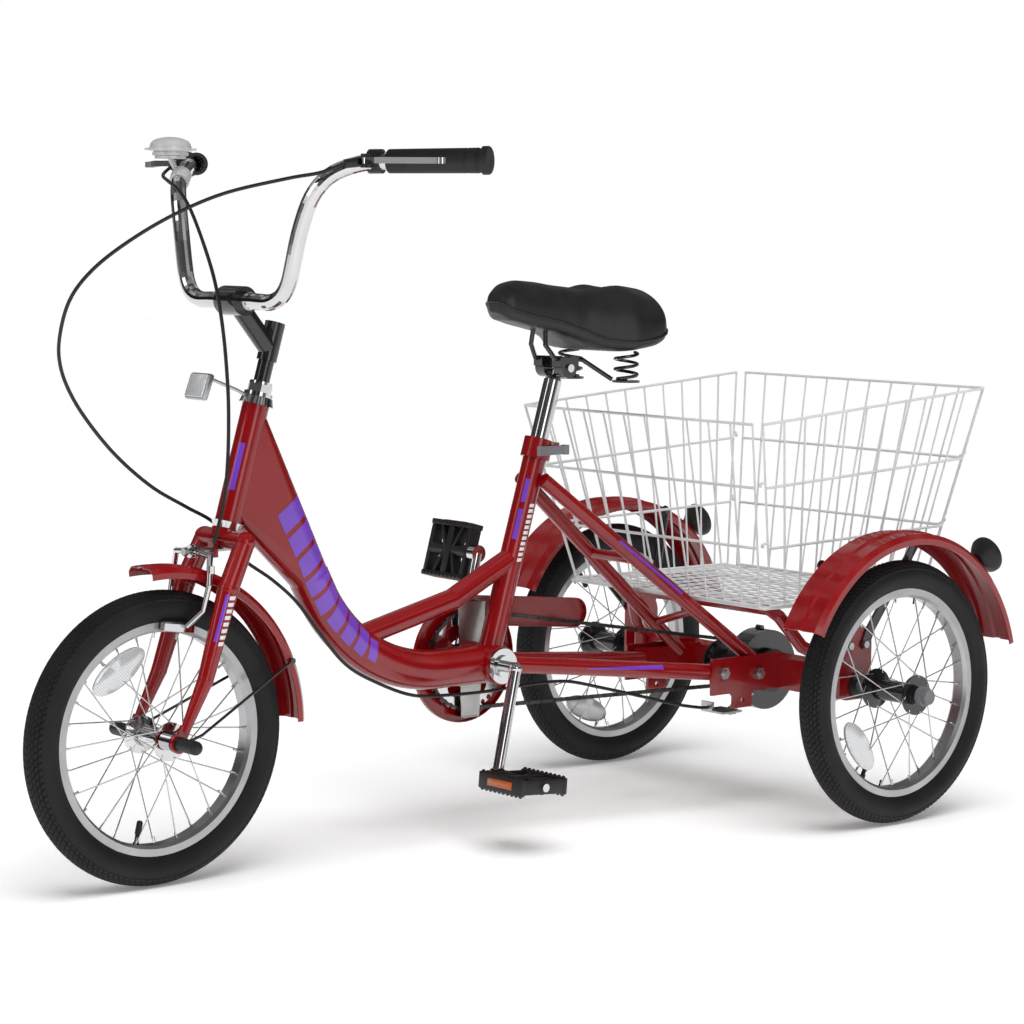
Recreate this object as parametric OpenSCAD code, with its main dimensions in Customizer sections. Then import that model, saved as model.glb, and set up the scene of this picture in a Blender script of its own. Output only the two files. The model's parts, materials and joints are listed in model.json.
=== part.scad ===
// Adult tricycle. X points forward, Y to the rider's left, Z up, all in millimetres.
// The working frame has the rear axle over x = 0 and the ground at z = 0.
// The finished part is moved so that its origin is the bottom centre of its bounding box.

/* [Wheels] */
// Distance from the rear axle to the front axle
wheelbase = 1121; // [1000:1:1400]
// Distance between the centre planes of the rear wheels
track = 636; // [520:1:780]
// Radius over the tread
tyre_r = 200; // [170:1:245]
// Width of the tyre
tyre_w = 47; // [38:1:56]
// Depth of the tyre outside the rim
tyre_depth = 42; // [34:1:46]
// Width of the rim
rim_w = 28; // [22:1:32]
// Height of the rim section
rim_h = 14; // [10:1:18]
// Spokes in each wheel, a multiple of four
spoke_count = 28; // [20:4:36]
// Diameter of a spoke
spoke_d = 2; // [1.6:0.1:2.4]
// Angle a spoke leads or trails its own flange hole
spoke_lead = 52; // [30:1:60]
// Radius of the front hub flanges
front_flange_r = 26; // [22:1:30]
// Radius of the rear hub flanges
rear_flange_r = 30; // [26:1:36]
// Radius of the front axle
front_axle_r = 4.75; // [4:0.25:6]
// Radius of the rear axle
rear_axle_r = 7.5; // [6:0.5:9]
// Radial clearance of every running fit
running_gap = 0.05; // [0.02:0.01:0.09]

/* [Frame] */
// Height of the bottom bracket over the axles
bb_rise = 51; // [30:1:80]
// Distance of the bottom bracket ahead of the rear axle
bb_x = 541; // [500:1:640]
// Radius of the main beam
beam_r = 29; // [24:1:32]
// Bend radius of the main beam
beam_bend = 246; // [200:1:260]
// Rise of the beam past its bend, in degrees
beam_rise = 61.4; // [55:0.2:66]
// Radius of the upper brace
brace_r = 16; // [12:1:18]
// Length of the head tube
head_length = 164; // [150:1:190]
// Radius of the head tube
head_r = 18.5; // [17:0.5:21]
// Lean of the head tube from the vertical
head_lean = 15.9; // [13:0.1:19]
// Radius of the seat tube
seat_tube_r = 17.5; // [16:0.5:19]
// Lean of the seat tube from the vertical
seat_lean = 16.4; // [13:0.1:19]
// Length of the seat tube from the bottom bracket to the top of its collar
seat_tube_length = 340; // [300:1:400]
// Radius of the seat stays
stay_r = 11; // [9:0.5:12]
// Height of the rectangular axle tubes
axle_tube_h = 49; // [40:1:56]
// Depth of the rectangular axle tubes
axle_tube_w = 44; // [36:1:50]

/* [Steering] */
// Horizontal distance from the lower headset to the front axle
fork_reach = 117; // [110:1:125]
// Radius of the steerer
steerer_r = 12.7; // [12.2:0.1:13]
// Radius of the quill of the stem
quill_r = 11.1; // [10.6:0.1:11.4]
// Radius of the handlebar
bar_r = 11.1; // [10:0.1:12]
// Radius of the grips
grip_r = 15; // [14:0.5:18]
// Length of the grips
grip_length = 140; // [110:1:145]

/* [Saddle] */
// Radius of the seat post
post_r = 13.6; // [12.5:0.1:14]
// Seat post showing above the collar
post_show = 98; // [60:1:140]
// Length of the saddle
saddle_length = 278; // [240:1:300]
// Widest half width of the saddle
saddle_half = 104; // [85:1:120]

/* [Drive] */
// Length of a crank arm
crank_length = 158; // [140:1:160]
// Forward swing of the left crank arm from straight down
crank_swing = 16.6; // [0:0.1:40]
// Teeth on the chainring
ring_teeth = 36; // [32:1:40]
// Teeth on the rear sprocket
sprocket_teeth = 18; // [14:1:20]
// Pitch of the chain
chain_pitch = 12.7; // [12.7:0.1:12.8]
// Distance of the chain from the centre plane
chain_y = 45; // [44:1:46]
// Length of a pedal along its axle
pedal_length = 94; // [70:1:95]
// Length of a pedal along the foot
pedal_width = 88; // [60:1:90]

/* [Basket and fenders] */
// Height of the basket floor over the axles
basket_rise = 126; // [120:1:160]
// Front edge of the basket floor ahead of the axle
floor_front = 183; // [150:1:220]
// Rear edge of the basket floor behind the axle
floor_back = 185; // [150:1:220]
// Height of the front wall
wall_front = 282; // [220:1:320]
// Height of the rear wall
wall_back = 324; // [240:1:360]
// Outward lean of the side walls as a slope
side_slope = 0.17; // [0.1:0.01:0.22]
// Outward lean of the front wall as a slope
front_slope = 0.255; // [0.15:0.005:0.3]
// Outward lean of the rear wall as a slope
back_slope = 0.2; // [0.12:0.01:0.3]
// Diameter of the basket rails
rail_d = 4.6; // [3.5:0.1:6]
// Width of a grille wire
wire_w = 3; // [2:0.5:4]
// Gap between the tread and a rear fender
fender_gap = 42; // [25:1:50]
// Width of a rear fender
fender_w = 76; // [66:1:86]
// Width of the front fender
front_fender_w = 58; // [52:1:64]
// Gap between the tread and the front fender
front_fender_gap = 32; // [20:1:38]
// Thickness of the fender sheet
sheet = 1.5; // [1:0.1:2.5]

/* [Brakes] */
// Radius of the band brake cover
brake_r = 63; // [55:1:68]
// Reach of the brake levers ahead of the grips
lever_reach = 52; // [48:1:60]

/* [Hidden] */
$fn = 48;

axle_z = tyre_r;
wheel_y = track / 2;
rim_r = tyre_r - tyre_depth;
basket_back_top = floor_back + back_slope * wall_back;
basket_front_top = floor_front + front_slope * wall_front;
x_mid = (wheelbase + tyre_r - basket_back_top - rail_d / 2) / 2;

bb = [bb_x, 0, axle_z + bb_rise];
head_dir = [-sin(head_lean), 0, cos(head_lean)];
head_low = [wheelbase - fork_reach, 0, axle_z + tyre_r + 84];
seat_dir = [-sin(seat_lean), 0, cos(seat_lean)];
post_top = seat_tube_length + post_show;
beam_dir = [cos(beam_rise), 0, sin(beam_rise)];
beam_meet = head(114);
bend_centre_z = bb[2] + beam_bend;
bend_end_z = bend_centre_z - beam_bend * cos(beam_rise);
bend_end = [beam_meet[0] - (beam_meet[2] - bend_end_z) / tan(beam_rise), 0, bend_end_z];
bend_centre = [bend_end[0] - beam_bend * sin(beam_rise), 0, bend_centre_z];

axle_tube_end = wheel_y - 80;
plate_y = 100;
fender_r = tyre_r + fender_gap;
front_fender_r = tyre_r + front_fender_gap;
front_hub_y = 36;
rear_hub_y = 40;
drop_y = 52;
steer_top = head_length + 32;

bar_centre = head(steer_top) + [44, 0, 111];
grip_start = bar_centre + [-86, 222, 187];
grip_dir = [-0.497, 0.867, 0.014];
reach_dir = [0.867, 0.497, 0];
perch_at = grip_start - 18 * grip_dir;
lever_pivot = perch_at + 30 * reach_dir;
bar_points = [
  bar_centre, bar_centre + [0, 50, 0], bar_centre + [0, 82, 0], bar_centre + [-1, 105, 9],
  bar_centre + [-2, 118, 26], bar_centre + [-3, 126, 52], bar_centre + [-5, 136, 90],
  bar_centre + [-10, 150, 130], bar_centre + [-18, 163, 154], bar_centre + [-32, 177, 171],
  bar_centre + [-58, 196, 183], grip_start, grip_start + 60 * grip_dir,
  grip_start + (grip_length - 1) * grip_dir
];

bell_at = bar_centre + [-20, -186, 192];
pad_r = rim_r - rim_h / 2;
caliper_at = [wheelbase - 61, 0, axle_z + tyre_r + 48];
pad_at = [wheelbase - 21, 20.7, axle_z + sqrt(pad_r * pad_r - 441)];

ring_r = chain_pitch / (2 * sin(180 / ring_teeth));
sprocket_r = chain_pitch / (2 * sin(180 / sprocket_teeth));
pedal_left_at = bb + crank_length * [sin(crank_swing), 0, -cos(crank_swing)];
pedal_right_at = bb - crank_length * [sin(crank_swing), 0, -cos(crank_swing)];

rear_cable_points = [
  [964.3, 197.7, 965.6], [988, 179, 954], [1016, 146, 946], [1080, 98, 926], [1140, 72, 898], [1195, 50, 863],
  [1240, 32, 825], [1266, 18, 785], [1270, 0, 734], [1262, -8, 695], [1238, -16, 655],
  [1200, -24, 612], [1155, -31, 571], [1100, -37, 532], [1045, -42, 504], [996, -40, 477],
  [960, -30, 430], [925, -8, 400], [895, 10, 368], [855, 15, 318], [812, 15, 274], [760, 15, 245],
  [690, 15, 219], [615, 15, 213], [545, 15, 212], [475, 17, 215], [403, 20, 214], [340, 32, 200],
  [270, 48, 182], [210, 57, 166], [165, 60, 157], [140, 60, 154], [100, 60, 149]
];
front_cable_points = [
  [964.3, -197.7, 965.6], [990, -181, 953], [1008, -142, 944], [1013, -110, 932], [1016, -78, 908], [1020, -40, 862],
  [1022, -8, 808], [1024, 14, 745], [1026, 28, 677], [1028, 34, 625], [1032, 38, 570],
  [1040, 42, 520], [1050, 44, 487], [1058, 45, 462], [1061, 44, 433]
];

function head(t) = head_low + t * head_dir;
function seat(t) = bb + t * seat_dir;
function unit(v) = v / norm(v);
function mix(a, b, t) = a + (b - a) * t;
function curve(a, b, c, d, t) =
  0.5 * (2 * b + (c - a) * t + (2 * a - 5 * b + 4 * c - d) * t * t + (3 * b - a - 3 * c + d) * t * t * t);
function spline(p, n) = concat(
  [for (i = [0:len(p) - 2]) for (j = [0:n - 1])
    curve(p[max(i - 1, 0)], p[i], p[i + 1], p[min(i + 2, len(p) - 1)], j / n)],
  [p[len(p) - 1]]);
function tangents(p) = [for (i = [0:len(p) - 1]) unit(p[min(i + 1, len(p) - 1)] - p[max(i - 1, 0)])];
function side_of(t) = unit(cross(t, abs(t[2]) < 0.9 ? [0, 0, 1] : [1, 0, 0]));
function carried(n, t) = unit(n - t * (n * t));
function normals(t) = [
  for (i = 0, n = side_of(t[0]); i < len(t); i = i + 1, n = carried(n, t[min(i, len(t) - 1)])) n];
function tube_rings(p, r, s) = let (t = tangents(p), n = normals(t))
  [for (i = [0:len(p) - 1]) [for (k = [0:s - 1])
    p[i] + r * (cos(k * 360 / s) * n[i] + sin(k * 360 / s) * cross(t[i], n[i]))]];
function fender_section(r, w, deep, bead) = let (h = w / 2, c = 7) [
  [r - deep, -h], [r - c, -h], [r, c - h], [r, -8], [r + bead, -4], [r + bead, 4], [r, 8], [r, h - c],
  [r - c, h], [r - deep, h], [r - deep, h - sheet], [r - c - 0.6, h - sheet],
  [r - sheet, h - c - 0.6], [r - sheet, 7.4], [r + bead - sheet, 3.4], [r + bead - sheet, -3.4],
  [r - sheet, -7.4], [r - sheet, c + 0.6 - h], [r - c - 0.6, sheet - h], [r - deep, sheet - h]];
function saddle_half_at(u) = lookup(u, [
  [0, 0.5], [0.03, 0.78], [0.1, 0.97], [0.18, 1], [0.28, 0.96], [0.4, 0.76], [0.52, 0.54],
  [0.66, 0.4], [0.84, 0.34], [0.94, 0.27], [0.98, 0.2], [1, 0.12]]);
function saddle_top_at(u) = lookup(u, [
  [0, 80], [0.04, 100], [0.12, 116], [0.25, 121], [0.4, 116], [0.5, 115], [0.62, 118], [0.75, 122],
  [0.855, 124], [0.93, 120], [0.975, 110], [1, 96]]);
function saddle_low_at(u) = lookup(u, [
  [0, 50], [0.04, 34], [0.15, 22], [0.3, 17], [0.42, 20], [0.54, 36], [0.65, 47], [0.78, 54],
  [0.94, 64], [1, 74]]);
function saddle_ring(u) = let (w = saddle_half * saddle_half_at(u), hi = saddle_top_at(u), lo = saddle_low_at(u))
  [for (k = [0:31]) let (a = k * 360 / 32, c = cos(a), s = sin(a))
    [saddle_back + u * saddle_length,
      w * sign(c) * pow(abs(c), s > 0 ? 0.75 : 0.35),
      s > 0 ? lo + 18 + (hi - lo - 18) * pow(s, 0.8) : lo + 18 - 18 * pow(-s, 0.5)]
    + [0, 0, seat(post_top)[2] + 18]];
saddle_back = seat(post_top)[0] - 158;

module shift() translate([-x_mid, 0, 0]) children();
module both_sides() {
  children();
  mirror([0, 1, 0]) children();
}
module rod(a, b, ra, rb = 0) {
  d = b - a;
  translate(a) rotate([0, acos(d[2] / norm(d)), atan2(d[1], d[0])])
    cylinder(r1 = ra, r2 = rb > 0 ? rb : ra, h = norm(d));
}
module bent_rod(points, r) {
  for (i = [0:len(points) - 2]) rod(points[i], points[i + 1], r);
  for (i = [1:len(points) - 2]) translate(points[i]) sphere(r = r * 1.015);
}
module loft(rings) {
  s = len(rings[0]);
  n = len(rings);
  polyhedron(
    points = [for (ring = rings) for (p = ring) p],
    faces = concat(
      [[for (k = [0:s - 1]) k], [for (k = [s - 1:-1:0]) (n - 1) * s + k]],
      [for (i = [0:n - 2]) for (k = [0:s - 1]) [i * s + k, (i + 1) * s + k, (i + 1) * s + (k + 1) % s]],
      [for (i = [0:n - 2]) for (k = [0:s - 1]) [i * s + k, (i + 1) * s + (k + 1) % s, i * s + (k + 1) % s]]));
}
// Plate in the XZ plane reaching from y down to y - t
module plate(y, t) translate([0, y, 0]) rotate([90, 0, 0]) linear_extrude(t) children();
// Ring turned about the Y axis; the profile holds [radius, width] points
module turned(at) translate(at) rotate([90, 0, 0]) rotate_extrude($fn = 96) children();
// Disc or pin along Y from y0 to y1
module pin(x, z, y0, y1, r) translate([x, y1, z]) rotate([90, 0, 0]) cylinder(r = r, h = y1 - y0);
// Belt outline round the rear sprocket and the chainring
module belt(ra, rb) {
  d = norm([bb_x, bb_rise]);
  f = acos((ra - rb) / d);
  g = 360 - 2 * f;
  translate([0, axle_z]) rotate(atan2(bb_rise, bb_x)) polygon(concat(
    [for (i = [0:24]) let (a = f + i * g / 24) ra * [cos(a), sin(a)]],
    [for (i = [0:24]) let (a = f * (i / 12 - 1)) [d, 0] + rb * [cos(a), sin(a)]]));
}
module toothed(r, teeth) difference() {
  circle(r = r + 3.2);
  for (i = [0:teeth - 1]) rotate((i + 0.5) * 360 / teeth) translate([r, 0]) circle(r = 4, $fn = 24);
}
// Grille between four corners with even columns and rows at the given heights
module grille(bl, br, tr, tl, cols, rows) difference() {
  polygon([bl, br, tr, tl]);
  for (i = [0:cols - 1], j = [0:len(rows) - 2]) {
    e = wire_w / 2 / norm(br - bl);
    g = wire_w / 2 / norm(tl - bl);
    u = [i / cols + e, (i + 1) / cols - e];
    v = [rows[j] + g, rows[j + 1] - g];
    polygon([for (c = [[u[0], v[0]], [u[1], v[0]], [u[1], v[1]], [u[0], v[1]]])
      mix(mix(bl, br, c[0]), mix(tl, tr, c[0]), c[1])]);
  }
}

module main_frame() color("firebrick") shift() difference() {
  union() {
    rod(head(0), head(head_length), head_r);
    hull() {
      rod(head(16), head(head_length - 12), head_r - 1.5, head_r - 2, $fn = 32);
      rod(bend_end + 22 * beam_dir, bend_end + 24 * beam_dir, beam_r - 0.5, $fn = 32);
    }
    rod(bend_end - 6 * beam_dir, bend_end + 26 * beam_dir, beam_r + 0.4);
    translate(bend_centre) rotate([90, 0, 0]) rotate([0, 0, -90])
      rotate_extrude(angle = beam_rise) translate([beam_bend, 0]) circle(r = beam_r);
    rod([bb_x, 0, bb[2]], [bend_centre[0], 0, bb[2]], beam_r);
    bent_rod([bend_centre + beam_bend * [cos(51.3), 0, -sin(51.3)], seat(160) + [113, 0, -55],
      seat(160) + [50, 0, -24], seat(160)], brace_r);
    rod(seat(0), seat(seat_tube_length - 30), seat_tube_r);
    pin(bb[0], bb[2], -34, 34, 28.5);
  }
  rod(head(-5), head(head_length + 5), 15);
  rod(seat(seat_tube_length - 216), seat(seat_tube_length + 5), post_r + running_gap);
  pin(bb[0], bb[2], -40, 40, 20);
}

module seat_collar() color("firebrick") shift() difference() {
  union() {
    rod(seat(seat_tube_length - 29.7), seat(seat_tube_length), 22);
    translate(seat(seat_tube_length - 15) + [-34, -12, -9]) cube([18, 24, 18]);
    pin(seat(seat_tube_length - 15)[0] - 28, seat(seat_tube_length - 15)[2], -26, 24, 4);
    pin(seat(seat_tube_length - 15)[0] - 28, seat(seat_tube_length - 15)[2], -32, -26, 9);
  }
  rod(seat(seat_tube_length - 40), seat(seat_tube_length + 5), post_r + running_gap);
}

module rear_stays() color("firebrick") shift() {
  both_sides() {
    rod(bb + [-24, 21.5, -1], [150, plate_y - 15, axle_z + 13], 12.5);
    translate([20, plate_y - 19, axle_z - 4]) cube([140, 11.7, 34]);
    rod(seat(280) + [-4, 24.5, 0], [62, plate_y - 13, axle_z + 20], stay_r);
  }
  rod(mix(seat(280) + [-4, 24.5, 0], [62, plate_y - 13, axle_z + 20], 0.42),
    mix(seat(280) + [-4, -24.5, 0], [62, 13 - plate_y, axle_z + 20], 0.42), 8);
  rod(mix(seat(280) + [-4, 24.5, 0], [62, plate_y - 13, axle_z + 20], 0.7),
    mix(seat(280) + [-4, -24.5, 0], [62, 13 - plate_y, axle_z + 20], 0.83), 6);
}

module axle_frame() color("firebrick") shift() {
  both_sides() {
    difference() {
      union() {
        translate([-axle_tube_w / 2, 62, axle_z + 2 - axle_tube_h / 2])
          cube([axle_tube_w, axle_tube_end - 62, axle_tube_h]);
        translate([axle_tube_w / 2 - 1, plate_y - 7, axle_z - 20]) cube([150, 5, 56]);
        translate([84, plate_y - 7, axle_z - 44]) cube([40, 5, 30]);
        plate(axle_tube_end + 2, 5) {
          translate([-30, axle_z - 14]) square([70, 74]);
          translate([5, axle_z + 60]) circle(r = 35);
        }
      }
      pin(0, axle_z, 50, axle_tube_end + 20, 20);
      pin(104, axle_z - 32, 80, 110, 4.2);
    }
    bent_rod([[28, wheel_y - 103, axle_z + 10], [32, wheel_y - 108, axle_z + 36],
      [66, wheel_y - 134, axle_z + 58], [96, wheel_y - 154, axle_z + 104],
      [100, wheel_y - 172, axle_z + 114], [100, 0, axle_z + 114]], 10);
  }
}

module axle_bearings() color("dimgray") shift() both_sides() difference() {
  union() {
    pin(0, axle_z, 58, 80, 20);
    plate(62, 4) difference() {
      translate([0, axle_z]) circle(r = 34);
      for (a = [45:90:315]) translate([0, axle_z]) rotate(a) translate([27, 0]) circle(r = 3.5);
    }
    pin(0, axle_z, axle_tube_end - 16, axle_tube_end + 6, 20);
  }
  pin(0, axle_z, 50, axle_tube_end + 20, rear_axle_r + running_gap);
}

module bearing_cups() color("silver") shift() {
  difference() {
    union() {
      rod(head(-9), head(0), 19, 23);
      rod(head(0), head(14), 15);
      rod(head(head_length), head(head_length + 11), 24, 21);
      rod(head(head_length - 14), head(head_length), 15);
    }
    rod(head(-20), head(head_length + 20), steerer_r + running_gap);
  }
  both_sides() difference() {
    union() {
      pin(bb[0], bb[2], 22, 34, 20);
      pin(bb[0], bb[2], 34, 39, 26);
    }
    pin(bb[0], bb[2], 10, 50, 8.5 + running_gap);
  }
}

module chain_guard() color("firebrick") shift() difference() {
  plate(-50.5, 6) {
    translate([bb[0], bb[2]]) circle(r = 95, $fn = 96);
    translate([bb[0], bb[2]]) rotate(185.2) translate([0, -95]) square([215, 45]);
    translate([bb[0], bb[2]]) rotate(185.2) translate([215, -72.5]) circle(r = 22.5);
  }
  plate(-49, 6) {
    translate([bb[0], bb[2]]) circle(r = 93.5, $fn = 96);
    translate([bb[0], bb[2]]) rotate(185.2) translate([0, -93.5]) square([215, 42]);
    translate([bb[0], bb[2]]) rotate(185.2) translate([215, -72.5]) circle(r = 21);
  }
  plate(-40, 30) translate([bb[0], bb[2]]) circle(r = 32);
}

module chain() color("dimgray") shift() for (s = [1.8, -3])
  plate(s + 1.2 - chain_y, 1.2) difference() {
    belt(sprocket_r + 4, ring_r + 4);
    belt(sprocket_r - 4, ring_r - 4);
  }

module frame_hardware() color("silver") shift() {
  plate(-35, 1.5) {
    difference() {
      translate([bb[0], bb[2]]) polygon([[-26, 86], [26, 86], [17, -84], [-17, -84]]);
      translate([bb[0], bb[2]]) circle(r = 27.5);
    }
  }
  translate([bb[0] - 20, -56, bb[2] + 85]) cube([40, 22.5, 1.5]);
  translate([bb[0] - 15, -56, bb[2] - 85]) cube([30, 22.5, 1.5]);
  both_sides() for (p = [[150, 14], [73, 7]]) {
    pin(p[0], axle_z + p[1], plate_y - 2, plate_y + 6, 10, $fn = 6);
    pin(p[0], axle_z + p[1], plate_y + 6, plate_y + 10, 5);
  }
  both_sides() for (a = [45:90:315]) pin(27 * cos(a), axle_z + 27 * sin(a), 50.3, 62, 3.4);
  both_sides() for (x = [-12, 22]) pin(x, axle_z + 62, axle_tube_end + 5.1, axle_tube_end + 9, 6, $fn = 6);
  translate([101, 48, axle_z - 52]) cube([43, 46.5, 3]);
  translate([140, 48, axle_z - 52]) cube([4, 24, 16]);
}

module rear_fenders() color("firebrick") shift() both_sides()
  translate([0, wheel_y, axle_z]) rotate([90, 0, 0]) rotate([0, 0, 27])
    rotate_extrude(angle = 138, $fn = 128) polygon(fender_section(fender_r, fender_w, 16, 3));

module fender_stays() color("black") shift() both_sides() {
  inner = wheel_y - fender_w / 2;
  for (p = [[-14, 62, -84, 221], [24, 62, 128, 196]]) {
    bend = [mix(p[0], p[2], 0.14), axle_z + mix(p[1], p[3], 0.14)];
    hull() {
      pin(p[0], axle_z + p[1], axle_tube_end + 2.3, axle_tube_end + 4.8, 9, $fn = 24);
      pin(bend[0], bend[1], axle_tube_end + 2.3, axle_tube_end + 4.8, 9, $fn = 24);
    }
    hull() {
      pin(bend[0], bend[1], axle_tube_end + 2.3, axle_tube_end + 4.8, 9, $fn = 24);
      pin(p[2], axle_z + p[3], inner - 2.8, inner - 0.3, 8, $fn = 24);
    }
    pin(p[2], axle_z + p[3], inner - 6, inner - 0.3, 5);
  }
}

module rear_reflectors() color("darkred") shift() both_sides() {
  at = [0, wheel_y, axle_z] + (fender_r + 3) * [-cos(43), 0, sin(43)];
  rod(at + [3, 0, -1], at + [-24, 0, 8], 14, 29);
  rod(at + [-23.7, 0, 7.9], at + [-33, 0, 11], 28, 26);
}

module basket_floor() color("white") shift() translate([0, 0, axle_z + basket_rise]) {
  w = wheel_y - 100;
  linear_extrude(wire_w) grille([-floor_back, -w], [floor_front, -w], [floor_front, w], [-floor_back, w],
    12, [for (i = [0:9]) i / 9]);
  for (x = [-96, 88]) translate([x, -w, -2]) cube([24, 2 * w, 2]);
}

module basket_walls() color("white") shift() translate([0, 0, axle_z + basket_rise + wire_w]) {
  w = wheel_y - 100;
  af = atan(front_slope);
  ab = atan(back_slope);
  as = atan(side_slope);
  hf = wall_front - wire_w;
  hb = wall_back - wire_w;
  both_sides() translate([0, w, 0]) rotate([90 - as, 0, 0]) linear_extrude(wire_w)
    grille([-floor_back - 0.5, 0], [floor_front + 0.5, 0], [basket_front_top - 5, hf / cos(as)],
      [5 - basket_back_top, hb / cos(as)], 10, [0, 0.3, 0.6, 1]);
  translate([floor_front - wire_w, 0, 0]) rotate([0, af, 0]) rotate([90, 0, 90]) linear_extrude(wire_w)
    grille([3 - w, 0], [w - 3, 0], [w - 3 + side_slope * hf, hf / cos(af)],
      [3 - w - side_slope * hf, hf / cos(af)], 11, [0, 0.3, 0.6, 1]);
  translate([wire_w - floor_back, 0, 0]) rotate([0, -ab, 0]) rotate([90, 0, -90]) linear_extrude(wire_w)
    grille([3 - w, 0], [w - 3, 0], [w - 3 + side_slope * hb, hb / cos(ab)],
      [3 - w - side_slope * hb, hb / cos(ab)], 11, [0, 0.3, 0.6, 1]);
  rod([-basket_back_top, -w - side_slope * hb, hb], [-basket_back_top, w + side_slope * hb, hb], rail_d / 2);
  rod([basket_front_top, -w - side_slope * hf, hf], [basket_front_top, w + side_slope * hf, hf], rail_d / 2);
  both_sides() rod([-basket_back_top + 6, w + side_slope * hb, hb],
    [basket_front_top - 6, w + side_slope * hf, hf], rail_d / 2);
}

module band_brake_cover() color("#202020") shift() {
  difference() {
    pin(0, axle_z, 15, 50, brake_r);
    pin(0, axle_z, 10, 47.5, brake_r - 2.5);
    pin(0, axle_z, 10, 60, rear_axle_r + 3);
  }
  pin(45, axle_z - 28, 50, 66, 4);
  pin(0, axle_z + brake_r + 2, 24, 36, 4);
}

module band_brake_arm() color("silver") shift() difference() {
  union() {
    plate(58, 4) {
      translate([45, axle_z - 28]) circle(r = 9);
      translate([88, axle_z - 56]) circle(r = 7);
      translate([45, axle_z - 28]) rotate(-33) translate([0, -6]) square([51, 12]);
    }
    pin(88, axle_z - 56, 54, 66, 5);
  }
  pin(45, axle_z - 28, 40, 70, 4 + running_gap);
}

module rear_brake_cable() color("black") shift() loft(tube_rings(spline(rear_cable_points, 2), 2.5, 8));
module front_brake_cable() color("black") shift() loft(tube_rings(spline(front_cable_points, 1), 2.5, 8));

module seat_lever() color("gray") shift() translate(seat(seat_tube_length - 15) + [-28, 31, 0]) difference() {
  union() {
    translate([0, 0, -7]) cylinder(r = 6.5, h = 14);
    hull() {
      translate([3, 0, -6]) cylinder(r = 4, h = 12, $fn = 24);
      translate([56, 6, -7]) cylinder(r = 3, h = 14, $fn = 24);
    }
  }
  translate([0, 0, -10]) cylinder(r = 1.5, h = 20);
}

module seatpost() color("silver") shift() {
  rod(seat(seat_tube_length - 130), seat(post_top - 8), post_r);
  rod(seat(post_top - 9), seat(post_top), post_r - 0.6, 9);
  pin(seat(post_top + 12)[0], seat(post_top + 12)[2], -34, 34, 6);
  rod(seat(post_top - 2), seat(post_top + 12), 5.5);
}

module saddle_clamp() color("#222222") shift() {
  c = seat(post_top + 12);
  both_sides() difference() {
    union() {
      pin(c[0], c[2], 11, 30, 15);
      translate(c + [-18, 11, 2]) cube([36, 19, 14]);
    }
    pin(c[0], c[2], 0, 50, 6 + running_gap);
  }
}

module saddle_cover() color("#181818") shift()
  loft([for (u = [0, 0.015, 0.03, 0.06, 0.1, 0.15, 0.2, 0.26, 0.33, 0.4, 0.47, 0.54, 0.62, 0.72, 0.82, 0.9, 0.95, 0.98, 1])
    saddle_ring(u)]);

module saddle_rails() color("#303030") shift() {
  c = seat(post_top + 12);
  both_sides() {
    bent_rod([c + [34, 13, 62], c + [36, 16, 34], c + [22, 22, 14], c + [-30, 24, 12],
      c + [-70, 46, -17]], 3.5);
    translate(c + [-84, 62, -21]) cylinder(r = 21, h = 3);
    pin(c[0] - 84, c[2] - 17, 44, 62, 3.4);
  }
}

module saddle_springs() color("#404040") shift() {
  c = seat(post_top + 12);
  both_sides() loft(tube_rings(
    [for (i = [0:40]) c + [-84 + 17 * cos(i * 22.5), 62 + 17 * sin(i * 22.5), i * 0.96 - 15.2]], 2.5, 8));
}

module fork() color("firebrick") shift() {
  difference() {
    union() {
      rod(head(-22), head(-9.6), 20);
      rod(head(-24), head(steer_top), steerer_r);
      rod(head(-20) + [0, -46, -4], head(-20) + [0, 46, -4], 14);
      both_sides() {
        translate(head(-20) + [0, 47, -4]) sphere(r = 14.4);
        rod(head(-20) + [0, 47, -4], [wheelbase - 82, 51, axle_z + tyre_r], 13.8, 14.5);
        translate([wheelbase - 82, 51, axle_z + tyre_r]) sphere(r = 14.9);
        rod([wheelbase - 82, 51, axle_z + tyre_r], [wheelbase - 43, 55, axle_z + 81], 14.5, 11);
        translate([wheelbase - 43, 55, axle_z + 81]) sphere(r = 11.3);
        rod([wheelbase - 43, 55, axle_z + 81], [wheelbase - 9, 56, axle_z + 14], 11, 6.5);
        plate(drop_y + 6.5, 5) {
          translate([wheelbase, axle_z]) circle(r = 13);
          translate([wheelbase, axle_z]) rotate(118) translate([0, -8]) square([24, 16]);
        }
      }
    }
    rod(head(60), head(steer_top + 5), quill_r + running_gap);
    rod(head(-40) + [0, 0, -4], head(-4), quill_r);
    pin(wheelbase, axle_z, -80, 80, front_axle_r);
    translate([caliper_at[0] - 90, 0, caliper_at[2]]) rotate([0, 90, 0]) cylinder(r = 3.2, h = 200);
  }
}

module headset_locknut() color("silver") shift() difference() {
  union() {
    rod(head(head_length + 17), head(steer_top - 4), 18, $fn = 6);
    rod(head(head_length + 11.4), head(head_length + 16.9), 20);
    rod(head(steer_top - 4), head(steer_top), 16);
  }
  rod(head(head_length), head(steer_top + 5), steerer_r);
}

module front_fender() color("firebrick") shift() {
  translate([wheelbase, 0, axle_z]) rotate([90, 0, 0]) rotate([0, 0, 84])
    rotate_extrude(angle = 95, $fn = 128)
      polygon(fender_section(front_fender_r, front_fender_w, 15, 2.5));
  difference() {
    translate([head(-20)[0] + 16, -8, axle_z + tyre_r + 38]) cube([6, 16, 22]);
    translate(caliper_at) rotate([0, -90, 0]) cylinder(r = 3 + running_gap, h = 80);
  }
}

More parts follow.
